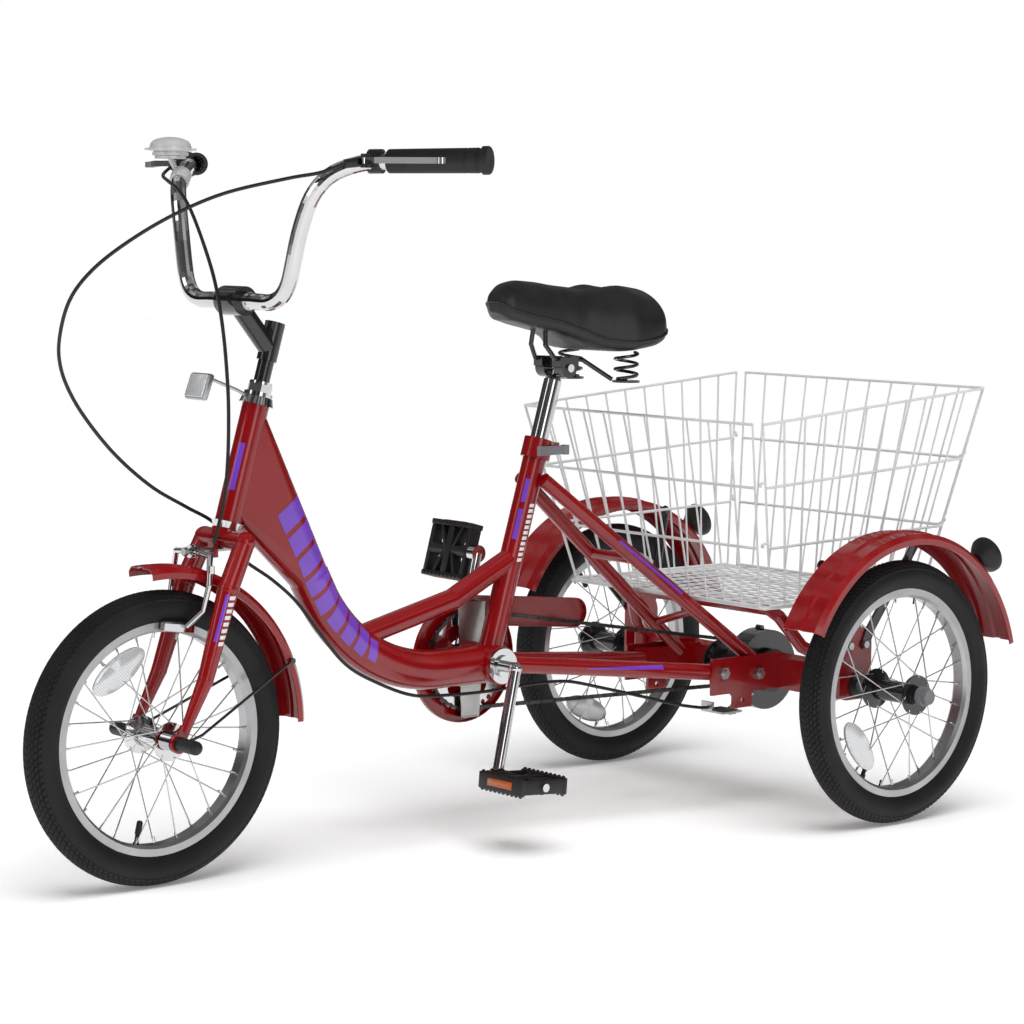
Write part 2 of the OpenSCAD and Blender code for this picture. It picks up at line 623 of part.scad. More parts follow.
module front_fender_stay() color("black") shift() both_sides() {
  y = front_fender_w / 2;
  eye = [wheelbase, drop_y + 9, axle_z];
  at = [wheelbase, 0, axle_z] + (front_fender_r - 9) * [-cos(24), 0, sin(24)];
  bent_rod([eye + [-9, 0, 1], eye + [-32, 4, 10], at + [0, y + 2.3, 0]], 2);
  plate(drop_y + 10.5, 3.5) difference() {
    translate([wheelbase, axle_z]) circle(r = 10);
    translate([wheelbase, axle_z]) circle(r = front_axle_r);
  }
  pin(at[0], at[2], y + 0.3, y + 5, 4);
}

module front_reflector() color("white") shift() {
  at = [head(head_length)[0] + 101, 0, head(head_length)[2] + 30];
  difference() {
    union() {
      rod(at + [-10, 0, 0], at, 15, 23);
      rod(at, at + [6, 0, 0], 23, 22);
    }
    translate(at + [-20, -40, 20]) cube([40, 80, 20]);
    translate(at + [-20, -40, -40]) cube([40, 80, 20]);
  }
  translate(at + [-74, -7, -33]) cube([66, 14, 2.5]);
  translate(at + [-11, -7, -33]) cube([3, 14, 34]);
}

module front_axle() color("black") shift() {
  pin(wheelbase, axle_z, -66, 66, front_axle_r);
  both_sides() {
    pin(wheelbase, axle_z, drop_y + 10.6, 95, 9.5);
    translate([wheelbase, 95, axle_z]) sphere(r = 9.6);
  }
}

module caliper_bolt() color("silver") shift() translate(caliper_at) rotate([0, 90, 0]) {
  translate([0, 0, -82]) cylinder(r = 3, h = 96);
  translate([0, 0, 11]) cylinder(r = 6, h = 6, $fn = 6);
  translate([0, 0, -84]) cylinder(r = 6, h = 5, $fn = 6);
}

module caliper_arm(x, drop) {
  c = caliper_at;
  difference() {
    union() {
      translate(c + [x, 0, 0]) rotate([0, 90, 0]) cylinder(r = 9, h = 5);
      bent_rod([c + [x + 2.5, 7, 0], c + [x + 2.5, 34, drop], [c[0] + 5, 44, c[2] - 42],
        [c[0] + 12, 40, c[2] - 76], pad_at + [-8, 9, 2]], 4);
    }
    translate(c + [x - 5, 0, 0]) rotate([0, 90, 0]) cylinder(r = 3 + running_gap, h = 20);
  }
  translate(pad_at) rotate([0, -8, 0]) translate([-24, -4.2, -5]) cube([48, 9.5, 10]);
}
module caliper_arm_left() color("silver") shift() {
  caliper_arm(-5, -4);
  translate(caliper_at + [1, 44, -26]) cylinder(r = 4, h = 10);
}
module caliper_arm_right() color("silver") shift() mirror([0, 1, 0]) caliper_arm(2.5, -2);

module tyre() difference() {
  turned([0, 0, 0]) difference() {
    translate([tyre_r - tyre_w / 2, 0]) circle(r = tyre_w / 2);
    translate([0, -50]) square([rim_r, 100]);
  }
}
module rim() turned([0, 0, 0]) polygon([
  [rim_r - rim_h, -rim_w / 2 + 5], [rim_r - rim_h + 4, -rim_w / 2], [rim_r, -rim_w / 2],
  [rim_r, rim_w / 2], [rim_r - rim_h + 4, rim_w / 2], [rim_r - rim_h, rim_w / 2 - 5]]);
module hub(fy, fr, body, bore, end) turned([0, 0, 0]) polygon([
  [bore, -end], [body - 3, -end], [body - 3, -fy - 2], [fr, -fy - 2], [fr, 2 - fy], [body, 6 - fy],
  [body, fy - 6], [fr, fy - 2], [fr, fy + 2], [body - 3, fy + 2], [body - 3, end], [bore, end]]);
module spokes(fy, fr) for (k = [0:spoke_count - 1]) {
  side = k % 2 == 0 ? 1 : -1;
  lead = floor(k / 2) % 2 == 0 ? 1 : -1;
  b = k * 360 / spoke_count;
  a = b + lead * spoke_lead;
  rod([(fr - 4) * cos(a), side * fy + lead * 2.4, (fr - 4) * sin(a)],
    [(rim_r - rim_h + 2) * cos(b), side * 3 + lead, (rim_r - rim_h + 2) * sin(b)], spoke_d / 2, $fn = 16);
}
front_wheel = [wheelbase, 0, axle_z];
left_wheel = [0, wheel_y, axle_z];
right_wheel = [0, -wheel_y, axle_z];

module front_tyre() color("#1c1c1c") shift() translate(front_wheel) tyre();
module front_rim() color("silver") shift() translate(front_wheel) rim();
module front_hub() color("silver") shift() translate(front_wheel)
  hub(front_hub_y, front_flange_r, 15, front_axle_r + running_gap, 50);
module front_spokes() color("silver") shift() translate(front_wheel) spokes(front_hub_y, front_flange_r);
module right_tyre() color("#1c1c1c") shift() translate(right_wheel) tyre();
module right_rim() color("silver") shift() translate(right_wheel) rim();
module right_hub() color("#202020") shift() translate(right_wheel)
  hub(rear_hub_y, rear_flange_r, 16, rear_axle_r, 50);
module right_spokes() color("silver") shift() translate(right_wheel) spokes(rear_hub_y, rear_flange_r);
module left_tyre() color("#1c1c1c") shift() translate(left_wheel) tyre();
module left_rim() color("silver") shift() translate(left_wheel) rim();
module left_hub() color("#202020") shift() translate(left_wheel)
  hub(rear_hub_y, rear_flange_r, 16, rear_axle_r + running_gap, 50);
module left_spokes() color("silver") shift() translate(left_wheel) spokes(rear_hub_y, rear_flange_r);

module rear_axle() color("gray") shift() {
  pin(0, axle_z, -wheel_y - 52, wheel_y + 52, rear_axle_r);
  both_sides() {
    pin(0, axle_z, wheel_y + 50.3, wheel_y + 60, 15);
    pin(0, axle_z, wheel_y + 60, wheel_y + 68, 11);
  }
}
module brake_drum() color("dimgray") shift() difference() {
  pin(0, axle_z, 18, 44, brake_r - 7);
  pin(0, axle_z, 24, 46, brake_r - 12);
  pin(0, axle_z, 10, 60, rear_axle_r);
}
module rear_sprocket() color("dimgray") shift() difference() {
  union() {
    plate(1.4 - chain_y, 2.8) translate([0, axle_z]) toothed(sprocket_r, sprocket_teeth);
    pin(0, axle_z, -chain_y - 8, -chain_y + 14, 20);
  }
  pin(0, axle_z, -90, 0, rear_axle_r + running_gap);
}

module stem() color("black") shift() {
  rod(head(steer_top - 105), head(steer_top + 40), quill_r);
  rod(head(steer_top + 30), head(steer_top + 84), 14);
  difference() {
    union() {
      rod(head(steer_top + 46), bar_centre, 13.5);
      pin(bar_centre[0], bar_centre[2], -23, 23, 20);
    }
    pin(bar_centre[0], bar_centre[2], -30, 30, 12.7 + running_gap);
  }
}

module handlebar() color("silver") shift() {
  pin(bar_centre[0], bar_centre[2], -34, 34, 12.7);
  both_sides() loft(tube_rings(spline(bar_points, 3), bar_r, 16));
}

module grips() color("#1a1a1a") shift() both_sides() difference() {
  union() {
    rod(grip_start, grip_start + grip_length * grip_dir, grip_r);
    rod(grip_start, grip_start + 5 * grip_dir, grip_r + 5);
    rod(grip_start + (grip_length - 5) * grip_dir, grip_start + grip_length * grip_dir, grip_r + 3);
  }
  rod(grip_start - grip_dir, grip_start + (grip_length - 1) * grip_dir, bar_r);
}

module lever_perches() color("#1a1a1a") shift() both_sides() difference() {
  union() {
    rod(perch_at - 9 * grip_dir, perch_at + 9 * grip_dir, 16);
    rod(perch_at + 12 * reach_dir, lever_pivot, 9);
    translate(lever_pivot + [0, 0, -9]) cylinder(r = 9, h = 4.7);
    translate(lever_pivot + [0, 0, 4.3]) cylinder(r = 9, h = 4.7);
    translate(lever_pivot + [0, 0, -9]) cylinder(r = 3, h = 18);
    rod(perch_at + 16 * reach_dir - 2 * grip_dir, perch_at + 36 * reach_dir - 30 * grip_dir + [0, 0, -4], 6);
  }
  rod(perch_at - 30 * grip_dir, perch_at + 30 * grip_dir, bar_r);
  translate(lever_pivot + [0, 0, -4.3]) difference() {
    cylinder(r = 13, h = 8.6);
    translate([0, 0, -1]) cylinder(r = 3, h = 11);
  }
}

function lever_at(along, out) = along * [grip_dir[0], grip_dir[1]] + out * [reach_dir[0], reach_dir[1]];
module brake_lever() translate(lever_pivot - [0, 0, 4]) linear_extrude(8) difference() {
  union() {
    circle(r = 8);
    polygon([lever_at(-2, -4), lever_at(24, lever_reach - 35), lever_at(60, lever_reach - 31),
      lever_at(112, lever_reach - 28.5), lever_at(112, lever_reach - 19.5), lever_at(60, lever_reach - 22.5),
      lever_at(20, lever_reach - 25.5), lever_at(-4, 5)]);
    translate(lever_at(113, lever_reach - 24)) circle(r = 6.5);
  }
  circle(r = 3 + running_gap);
}
module brake_lever_left() color("silver") shift() brake_lever();
module brake_lever_right() color("silver") shift() mirror([0, 1, 0]) brake_lever();

module bell_base() color("silver") shift() {
  translate(bell_at) cylinder(r = 22, h = 4);
  translate(bell_at) cylinder(r = 3, h = 12);
  rod(bar_centre + [-28, -174, 166], bell_at + [0, 0, 0.5], 4);
  rod(bar_centre + [-22, -168, 160], bar_centre + [-33.5, -178, 170.7], 14);
}
module bell_dome() color("lightgray") shift() translate(bell_at + [0, 0, 4.4]) difference() {
  union() {
    cylinder(r = 30, h = 6);
    translate([0, 0, 6]) cylinder(r = 29, h = 12);
    translate([0, 0, 18]) cylinder(r1 = 28, r2 = 20, h = 5);
    translate([0, 0, 23]) cylinder(r1 = 20, r2 = 6, h = 3);
    translate([-38, -5, 0]) cube([76, 10, 5]);
  }
  translate([0, 0, -1]) cylinder(r = 3 + running_gap, h = 9);
}

module crank() color("silver") shift() {
  pin(bb[0], bb[2], -66, 66, 8.5);
  pin(bb[0], bb[2], -43, -39.3, 16);
  pin(bb[0], bb[2], 39.3, 44, 16);
  for (s = [-1, 1]) {
    at = bb - s * crank_length * [-sin(crank_swing), 0, cos(crank_swing)];
    translate(bb + [0, s * 66, 0]) sphere(r = 9.5);
    rod(bb + [0, s * 66, 0], at + [0, s * 80, 0], 8.5);
    pin(at[0], at[2], min(s * 74, s * 88), max(s * 74, s * 88), 13);
    pin(at[0], at[2], min(s * 86, s * (94 + pedal_length)), max(s * 86, s * (94 + pedal_length)), 6);
  }
}
module chainring() color("silver") shift() plate(1.5 - chain_y, 3) translate([bb[0], bb[2]]) difference() {
  toothed(ring_r, ring_teeth);
  circle(r = 8.5);
  for (a = [0:60:300]) rotate(a) translate([45, 0]) circle(r = 15);
}
module pedal(at, turn) translate(at + [0, 90.3, 0]) rotate([0, turn, 0]) difference() {
  union() {
    translate([-pedal_width / 2, 0, -13]) cube([pedal_width, 9, 26]);
    translate([-pedal_width / 2, pedal_length - 9, -13]) cube([pedal_width, 9, 26]);
    for (x = [-pedal_width / 2, pedal_width / 2 - 9]) translate([x, 0, -13]) cube([9, pedal_length, 26]);
    for (x = [-pedal_width / 2 + 15, pedal_width / 2 - 21]) translate([x, 0, -10]) cube([6, pedal_length, 20]);
    pin(0, 0, 0, pedal_length, 11);
  }
  pin(0, 0, -5, pedal_length + 5, 6 + running_gap);
}
module pedal_left() color("#181818") shift() pedal(pedal_left_at, -4);
module pedal_right() color("#181818") shift() mirror([0, 1, 0]) pedal(pedal_right_at, 75);

main_frame();
rear_stays();
axle_frame();
bearing_cups();
seat_collar();
frame_hardware();
chain_guard();
chain();
rear_fenders();
fender_stays();
rear_reflectors();
basket_floor();
basket_walls();
axle_bearings();
band_brake_cover();
rear_brake_cable();
band_brake_arm();
seat_lever();
seatpost();
saddle_clamp();
saddle_cover();
saddle_rails();
saddle_springs();
fork();
headset_locknut();
front_fender();
front_fender_stay();
front_reflector();
front_axle();
caliper_bolt();
caliper_arm_left();
caliper_arm_right();
front_brake_cable();
front_tyre();
front_rim();
front_hub();
front_spokes();
stem();
handlebar();
grips();
lever_perches();
bell_base();
bell_dome();
brake_lever_left();
brake_lever_right();
crank();
chainring();
pedal_left();
pedal_right();
rear_sprocket();
rear_axle();
brake_drum();
right_tyre();
right_rim();
right_hub();
right_spokes();
left_tyre();
left_rim();
left_hub();
left_spokes();
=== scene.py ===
# Adult tricycle: red step-through frame, wire basket, sprung saddle
import json
import math
import bmesh
import bpy
from mathutils import Matrix, Vector


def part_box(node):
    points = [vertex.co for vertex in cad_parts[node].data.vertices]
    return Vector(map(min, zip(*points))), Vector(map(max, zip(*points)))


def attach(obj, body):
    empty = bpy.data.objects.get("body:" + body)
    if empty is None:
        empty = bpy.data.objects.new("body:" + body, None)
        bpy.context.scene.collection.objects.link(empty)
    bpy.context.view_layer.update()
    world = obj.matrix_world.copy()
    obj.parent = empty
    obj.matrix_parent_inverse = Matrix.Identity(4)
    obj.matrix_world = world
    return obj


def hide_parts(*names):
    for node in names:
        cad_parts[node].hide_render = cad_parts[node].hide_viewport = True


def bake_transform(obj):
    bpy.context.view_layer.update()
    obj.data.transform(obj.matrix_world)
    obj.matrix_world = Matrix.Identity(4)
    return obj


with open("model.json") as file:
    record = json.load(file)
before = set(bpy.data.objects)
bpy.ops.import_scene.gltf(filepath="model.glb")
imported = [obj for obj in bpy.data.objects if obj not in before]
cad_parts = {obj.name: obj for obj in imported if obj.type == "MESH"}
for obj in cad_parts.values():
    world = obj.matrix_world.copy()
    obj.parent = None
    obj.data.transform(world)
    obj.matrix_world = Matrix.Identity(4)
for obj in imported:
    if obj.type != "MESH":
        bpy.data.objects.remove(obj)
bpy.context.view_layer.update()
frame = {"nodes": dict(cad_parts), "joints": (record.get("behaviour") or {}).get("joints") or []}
nodes = frame["nodes"]
scene = bpy.context.scene
jointAt = {j["name"]: j for j in frame["joints"]}


def middle(node):
    low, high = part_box(node)
    return (Vector(low) + Vector(high)) / 2


rearLeft = middle("left_tyre")
rearRight = middle("right_tyre")
frontHub = middle("front_tyre")
rearX = rearLeft.x
axleZ = rearLeft.z


def at(x, y, z):
    # millimetres from the rear axle and the ground
    return Vector((rearX + x / 1000, y / 1000, z / 1000))


def clearSelection():
    if bpy.context.object and bpy.context.object.mode != "OBJECT":
        bpy.ops.object.mode_set(mode="OBJECT")
    bpy.ops.object.select_all(action="DESELECT")


def pick(obj):
    clearSelection()
    obj.select_set(True)
    bpy.context.view_layer.objects.active = obj


def settle(obj, angle=35):
    # place goes into the mesh, edges sharper than the angle stay crisp
    pick(obj)
    bpy.ops.object.transform_apply(location=True, rotation=True, scale=True)
    bpy.ops.object.shade_smooth_by_angle(angle=math.radians(angle))


def tidyShell(obj):
    pick(obj)
    bpy.ops.object.mode_set(mode="EDIT")
    bpy.ops.mesh.select_all(action="SELECT")
    bpy.ops.mesh.remove_doubles(threshold=0.00002)
    bpy.ops.mesh.normals_make_consistent(inside=False)
    bpy.ops.object.mode_set(mode="OBJECT")


def dress(obj, material, body):
    obj.data.materials.clear()
    obj.data.materials.append(material)
    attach(obj, body)
    return obj


def applyAll(obj):
    pick(obj)
    for modifier in list(obj.modifiers):
        bpy.ops.object.modifier_apply(modifier=modifier.name)


def joinPieces(name, parts):
    clearSelection()
    for part in parts:
        part.select_set(True)
    bpy.context.view_layer.objects.active = parts[0]
    if len(parts) > 1:
        bpy.ops.object.join()
    parts[0].name = name
    return parts[0]


def startMaterial(name):
    material = bpy.data.materials.new(name)
    material.use_nodes = True
    tree = material.node_tree
    shader = tree.nodes["Principled BSDF"]
    coords = tree.nodes.new("ShaderNodeTexCoord")
    return material, tree, shader, coords


def noiseNode(tree, coords, scale, detail=3.0, stretch=(1, 1, 1)):
    mapping = tree.nodes.new("ShaderNodeMapping")
    mapping.inputs["Scale"].default_value = stretch
    tree.links.new(coords.outputs["Object"], mapping.inputs["Vector"])
    grain = tree.nodes.new("ShaderNodeTexNoise")
    grain.inputs["Scale"].default_value = scale
    grain.inputs["Detail"].default_value = detail
    tree.links.new(mapping.outputs["Vector"], grain.inputs["Vector"])
    return grain


def rampNode(tree, source, stops):
    ramp = tree.nodes.new("ShaderNodeValToRGB")
    band = ramp.color_ramp
    while len(band.elements) < len(stops):
        band.elements.new(0.5)
    for element, (place, color) in zip(band.elements, stops):
        element.position = place
        element.color = (*color, 1)
    tree.links.new(source, ramp.inputs["Fac"])
    return ramp


def bumpNode(tree, source, shader, strength, distance):
    bump = tree.nodes.new("ShaderNodeBump")
    bump.inputs["Strength"].default_value = strength
    bump.inputs["Distance"].default_value = distance
    tree.links.new(source, bump.inputs["Height"])
    tree.links.new(bump.outputs["Normal"], shader.inputs["Normal"])
    return bump


def surfaceMaterial(name, low, high, rough, metallic=0.0, grainScale=300.0, bump=0.05,
                    bumpDepth=0.0002, coat=0.0, stretch=(1, 1, 1), specular=0.5):
    # two close tones from a noise, a varying roughness and a fine bump
    material, tree, shader, coords = startMaterial(name)
    cloud = noiseNode(tree, coords, 18.0, 4.0)
    tones = rampNode(tree, cloud.outputs["Fac"], [(0.3, low), (0.7, high)])
    tree.links.new(tones.outputs["Color"], shader.inputs["Base Color"])
    grain = noiseNode(tree, coords, grainScale, 3.0, stretch)
    gloss = tree.nodes.new("ShaderNodeMapRange")
    gloss.inputs["To Min"].default_value = rough[0]
    gloss.inputs["To Max"].default_value = rough[1]
    tree.links.new(grain.outputs["Fac"], gloss.inputs["Value"])
    tree.links.new(gloss.outputs["Result"], shader.inputs["Roughness"])
    shader.inputs["Metallic"].default_value = metallic
    shader.inputs["Coat Weight"].default_value = coat
    shader.inputs["Coat Roughness"].default_value = 0.04
    shader.inputs["Specular IOR Level"].default_value = specular
    bumpNode(tree, grain.outputs["Fac"], shader, bump, bumpDepth)
    return material


cherryPaint = surfaceMaterial("cherryPaint", (0.245, 0.001, 0.003), (0.285, 0.002, 0.004),
                              (0.18, 0.26), 0.0, 900.0, 0.03, 0.0001, 0.45)
mirrorChrome = surfaceMaterial("mirrorChrome", (0.62, 0.62, 0.63), (0.72, 0.72, 0.73),
                               (0.05, 0.12), 1.0, 500.0, 0.02, 0.0001)
satinAlloy = surfaceMaterial("satinAlloy", (0.42, 0.42, 0.43), (0.52, 0.52, 0.53),
                             (0.26, 0.38), 1.0, 260.0, 0.05, 0.0001, 0.0, (1, 12, 1))
bellSilver = surfaceMaterial("bellSilver", (0.60, 0.60, 0.60), (0.70, 0.70, 0.70),
                             (0.34, 0.44), 0.3, 700.0, 0.04, 0.0001)
zincSteel = surfaceMaterial("zincSteel", (0.42, 0.42, 0.41), (0.62, 0.62, 0.60),
                            (0.25, 0.45), 1.0, 120.0, 0.08, 0.0001)
greyCap = surfaceMaterial("greyCap", (0.17, 0.17, 0.18), (0.24, 0.24, 0.25), (0.4, 0.55), 0.3,
                          300.0, 0.08)
darkSteel = surfaceMaterial("darkSteel", (0.05, 0.05, 0.05), (0.12, 0.115, 0.11), (0.3, 0.5), 0.9,
                            200.0, 0.1)
blackEnamel = surfaceMaterial("blackEnamel", (0.008, 0.008, 0.009), (0.014, 0.014, 0.015),
                              (0.16, 0.26), 0.0, 600.0, 0.04, 0.0001, 0.6)
blackResin = surfaceMaterial("blackResin", (0.007, 0.007, 0.007), (0.014, 0.014, 0.014),
                             (0.38, 0.55), 0.0, 800.0, 0.15, 0.0002)
gripRubber = surfaceMaterial("gripRubber", (0.005, 0.005, 0.005), (0.011, 0.011, 0.011),
                             (0.5, 0.7), 0.0, 1100.0, 0.25, 0.0003)
tyreRubber = surfaceMaterial("tyreRubber", (0.006, 0.006, 0.006), (0.012, 0.012, 0.012),
                             (0.55, 0.7), 0.0, 700.0, 0.2, 0.0003, 0.0, (1, 1, 1), 0.35)
basketWhite = surfaceMaterial("basketWhite", (0.70, 0.71, 0.72), (0.80, 0.80, 0.81),
                              (0.28, 0.4), 0.0, 500.0, 0.08, 0.0002, 0.3)
stripePurple = surfaceMaterial("stripePurple", (0.17, 0.05, 0.50), (0.20, 0.06, 0.56),
                               (0.22, 0.3), 0.0, 900.0, 0.02, 0.0001, 0.6)
stripeWhite = surfaceMaterial("stripeWhite", (0.80, 0.80, 0.82), (0.86, 0.86, 0.88),
                              (0.22, 0.3), 0.0, 900.0, 0.02, 0.0001, 0.6)
amberLens = surfaceMaterial("amberLens", (0.42, 0.085, 0.01), (0.55, 0.12, 0.015), (0.15, 0.25), 0.0,
                            300.0, 0.3, 0.0005, 0.5)
redLens = surfaceMaterial("redLens", (0.42, 0.004, 0.004), (0.55, 0.01, 0.01), (0.12, 0.2), 0.0,
                          300.0, 0.3, 0.0005, 0.7)


def prismLens(name, low, high, cell):
    # moulded corner-cube rows seen through a clear face
    material, tree, shader, coords = startMaterial(name)
    rows = tree.nodes.new("ShaderNodeTexChecker")
    rows.inputs["Scale"].default_value = cell
    rows.inputs["Color1"].default_value = (*low, 1)
    rows.inputs["Color2"].default_value = (*high, 1)
    tree.links.new(coords.outputs["Object"], rows.inputs["Vector"])
    tree.links.new(rows.outputs["Color"], shader.inputs["Base Color"])
    shader.inputs["Roughness"].default_value = 0.18
    shader.inputs["Metallic"].default_value = 0.35
    shader.inputs["Coat Weight"].default_value = 0.8
    bumpNode(tree, rows.outputs["Fac"], shader, 0.3, 0.0006)
    return material


clearLens = prismLens("clearLens", (0.60, 0.62, 0.64), (0.85, 0.86, 0.87), 420.0)


def saddleMaterial():
    material, tree, shader, coords = startMaterial("saddleVinyl")
    pores = tree.nodes.new("ShaderNodeTexVoronoi")
    pores.inputs["Scale"].default_value = 520.0
    tree.links.new(coords.outputs["Object"], pores.inputs["Vector"])
    cloud = noiseNode(tree, coords, 30.0, 4.0)
    tones = rampNode(tree, cloud.outputs["Fac"], [(0.3, (0.009, 0.009, 0.009)), (0.7, (0.016, 0.016, 0.016))])
    tree.links.new(tones.outputs["Color"], shader.inputs["Base Color"])
    gloss = tree.nodes.new("ShaderNodeMapRange")
    gloss.inputs["To Min"].default_value = 0.34
    gloss.inputs["To Max"].default_value = 0.5
    tree.links.new(pores.outputs["Distance"], gloss.inputs["Value"])
    tree.links.new(gloss.outputs["Result"], shader.inputs["Roughness"])
    bumpNode(tree, pores.outputs["Distance"], shader, 0.22, 0.0004)
    return material


saddleVinyl = saddleMaterial()
print("materials ready")

nodeFinish = {
    "main_frame": cherryPaint, "rear_stays": cherryPaint, "axle_frame": cherryPaint,
    "seat_collar": cherryPaint, "chain_guard": cherryPaint, "rear_fenders": cherryPaint,
    "fork": cherryPaint, "front_fender": cherryPaint, "bearing_cups": mirrorChrome,
    "frame_hardware": zincSteel, "fender_stays": blackEnamel, "axle_bearings": darkSteel,
    "band_brake_cover": blackEnamel, "band_brake_arm": zincSteel, "seat_lever": greyCap,
    "seatpost": mirrorChrome, "saddle_clamp": blackEnamel, "saddle_rails": blackEnamel,
    "saddle_springs": blackEnamel, "headset_locknut": mirrorChrome,
    "front_fender_stay": blackEnamel, "front_axle": blackResin, "caliper_bolt": zincSteel,
    "caliper_arm_left": mirrorChrome, "caliper_arm_right": mirrorChrome,
    "front_rim": satinAlloy, "front_hub": mirrorChrome, "front_spokes": mirrorChrome,
    "stem": blackEnamel, "handlebar": mirrorChrome, "lever_perches": blackResin,
    "bell_base": bellSilver, "crank": mirrorChrome, "chainring": mirrorChrome,
    "rear_sprocket": darkSteel, "rear_axle": greyCap, "brake_drum": darkSteel,
    "right_rim": satinAlloy, "right_hub": blackEnamel, "right_spokes": mirrorChrome,
    "left_rim": satinAlloy, "left_hub": blackEnamel, "left_spokes": mirrorChrome,
    "brake_lever_left": mirrorChrome, "brake_lever_right": mirrorChrome,
}
for nodeName, finish in nodeFinish.items():
    nodes[nodeName].data.materials.clear()
    nodes[nodeName].data.materials.append(finish)
print("frame painted")


def turnedPiece(name, profile, centre, axis, steps):
    # profile points are (distance along the axis, radius) in millimetres, spun right round
    axis = Vector(axis).normalized()
    side = axis.orthogonal().normalized()
    mesh = bpy.data.meshes.new(name)
    places = [centre + axis * (a / 1000) + side * (r / 1000) for a, r in profile]
    mesh.from_pydata(places, [(i, i + 1) for i in range(len(places) - 1)], [])
    obj = bpy.data.objects.new(name, mesh)
    scene.collection.objects.link(obj)
    pick(obj)
    bpy.ops.object.mode_set(mode="EDIT")
    bpy.ops.mesh.select_all(action="SELECT")
    bpy.ops.mesh.spin(steps=steps, angle=math.tau, center=centre, axis=axis)
    bpy.ops.mesh.select_all(action="SELECT")
    bpy.ops.mesh.remove_doubles(threshold=0.00002)
    bpy.ops.mesh.normals_make_consistent(inside=False)
    bpy.ops.object.mode_set(mode="OBJECT")
    return obj


def wirePiece(name, runs, radius, sides=2, smooth=False):
    # each run is one wire; sharp runs keep their corners, smooth ones are splined
    bpy.ops.curve.primitive_nurbs_path_add()
    obj = bpy.context.object
    obj.location = (0, 0, 0)
    obj.name = name
    curve = obj.data
    curve.splines.clear()
    for run in runs:
        spline = curve.splines.new("NURBS" if smooth else "POLY")
        spline.points.add(len(run) - 1)
        for point, place in zip(spline.points, run):
            point.co = (*place, 1)
        if smooth:
            spline.order_u = 4
            spline.use_endpoint_u = True
            spline.resolution_u = 5
    curve.bevel_depth = radius / 1000
    curve.bevel_resolution = sides
    curve.use_fill_caps = True
    pick(obj)
    bpy.ops.object.convert(target="MESH")
    return bpy.context.object


def boxPiece(name, centre, size, bevel=0.8):
    bpy.ops.mesh.primitive_cube_add(size=1, location=centre)
    obj = bpy.context.object
    obj.name = name
    obj.scale = [s / 1000 for s in size]
    bpy.ops.object.transform_apply(location=True, rotation=True, scale=True)
    if bevel:
        bpy.ops.object.mode_set(mode="EDIT")
        bpy.ops.mesh.select_all(action="SELECT")
        bpy.ops.mesh.bevel(offset=bevel / 1000, segments=2)
        bpy.ops.object.mode_set(mode="OBJECT")
    return obj


def turnAbout(obj, pivot, axis, degrees):
    obj.data.transform(Matrix.Translation(pivot) @ Matrix.Rotation(math.radians(degrees), 4, axis)
                       @ Matrix.Translation(-pivot))


def copyOf(obj, name, matrix):
    twin = obj.copy()
    twin.data = obj.data.copy()
    twin.name = name
    scene.collection.objects.link(twin)
    twin.data.transform(matrix)
    return twin


tyre = {"steps": 132, "blockGap": 0.0011, "blockHeight": 0.0013, "slant": 0.62}


def treadTyre(name, node, centre, body):
    # section from one bead over the tread to the other
    section = [(-14, 158.6), (-15.2, 160), (-18.6, 163.5), (-21.4, 168.5), (-22.6, 173.5),
               (-22.9, 177.5), (-22.2, 182), (-20.2, 187), (-16.6, 191.6), (-12.2, 195.1),
               (-7.4, 197.3), (-2.5, 198.4), (2.5, 198.4), (7.4, 197.3), (12.2, 195.1),
               (16.6, 191.6), (20.2, 187), (22.2, 182), (22.9, 177.5), (22.6, 173.5),
               (21.4, 168.5), (18.6, 163.5), (15.2, 160), (14, 158.6), (0, 158.2), (-14, 158.6)]
    obj = turnedPiece(name, section, centre, (0, 1, 0), tyre["steps"])
    shell = bmesh.new()
    shell.from_mesh(obj.data)
    pitch = math.tau / tyre["steps"]
    for vertex in shell.verts:
        place = vertex.co - centre
        if math.hypot(place.x, place.z) > 0.1865:
            turn = -tyre["slant"] * pitch * abs(place.y) / 0.0049
            vertex.co = centre + Matrix.Rotation(turn, 3, "Y") @ place
    for face in shell.faces:
        place = face.calc_center_median() - centre
        ring = math.hypot(place.x, place.z)
        face.select_set(ring > 0.1885)
    shell.to_mesh(obj.data)
    shell.free()
    pick(obj)
    bpy.ops.object.mode_set(mode="EDIT")
    bpy.ops.mesh.select_mode(type="FACE")
    bpy.ops.mesh.inset(thickness=tyre["blockGap"], depth=tyre["blockHeight"], use_individual=True)
    bpy.ops.object.mode_set(mode="OBJECT")
    settle(obj, 28)
    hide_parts(node)
    return dress(obj, tyreRubber, body)


treadTyre("frontTreadTyre", "front_tyre", frontHub, "front_wheel")
treadTyre("leftTreadTyre", "left_tyre", rearLeft, "left_wheel")
treadTyre("rightTreadTyre", "right_tyre", rearRight, "axle_unit")
print("tyres done")


wheelTrim = {"reflectorRadius": 0.117, "spokes": 28}


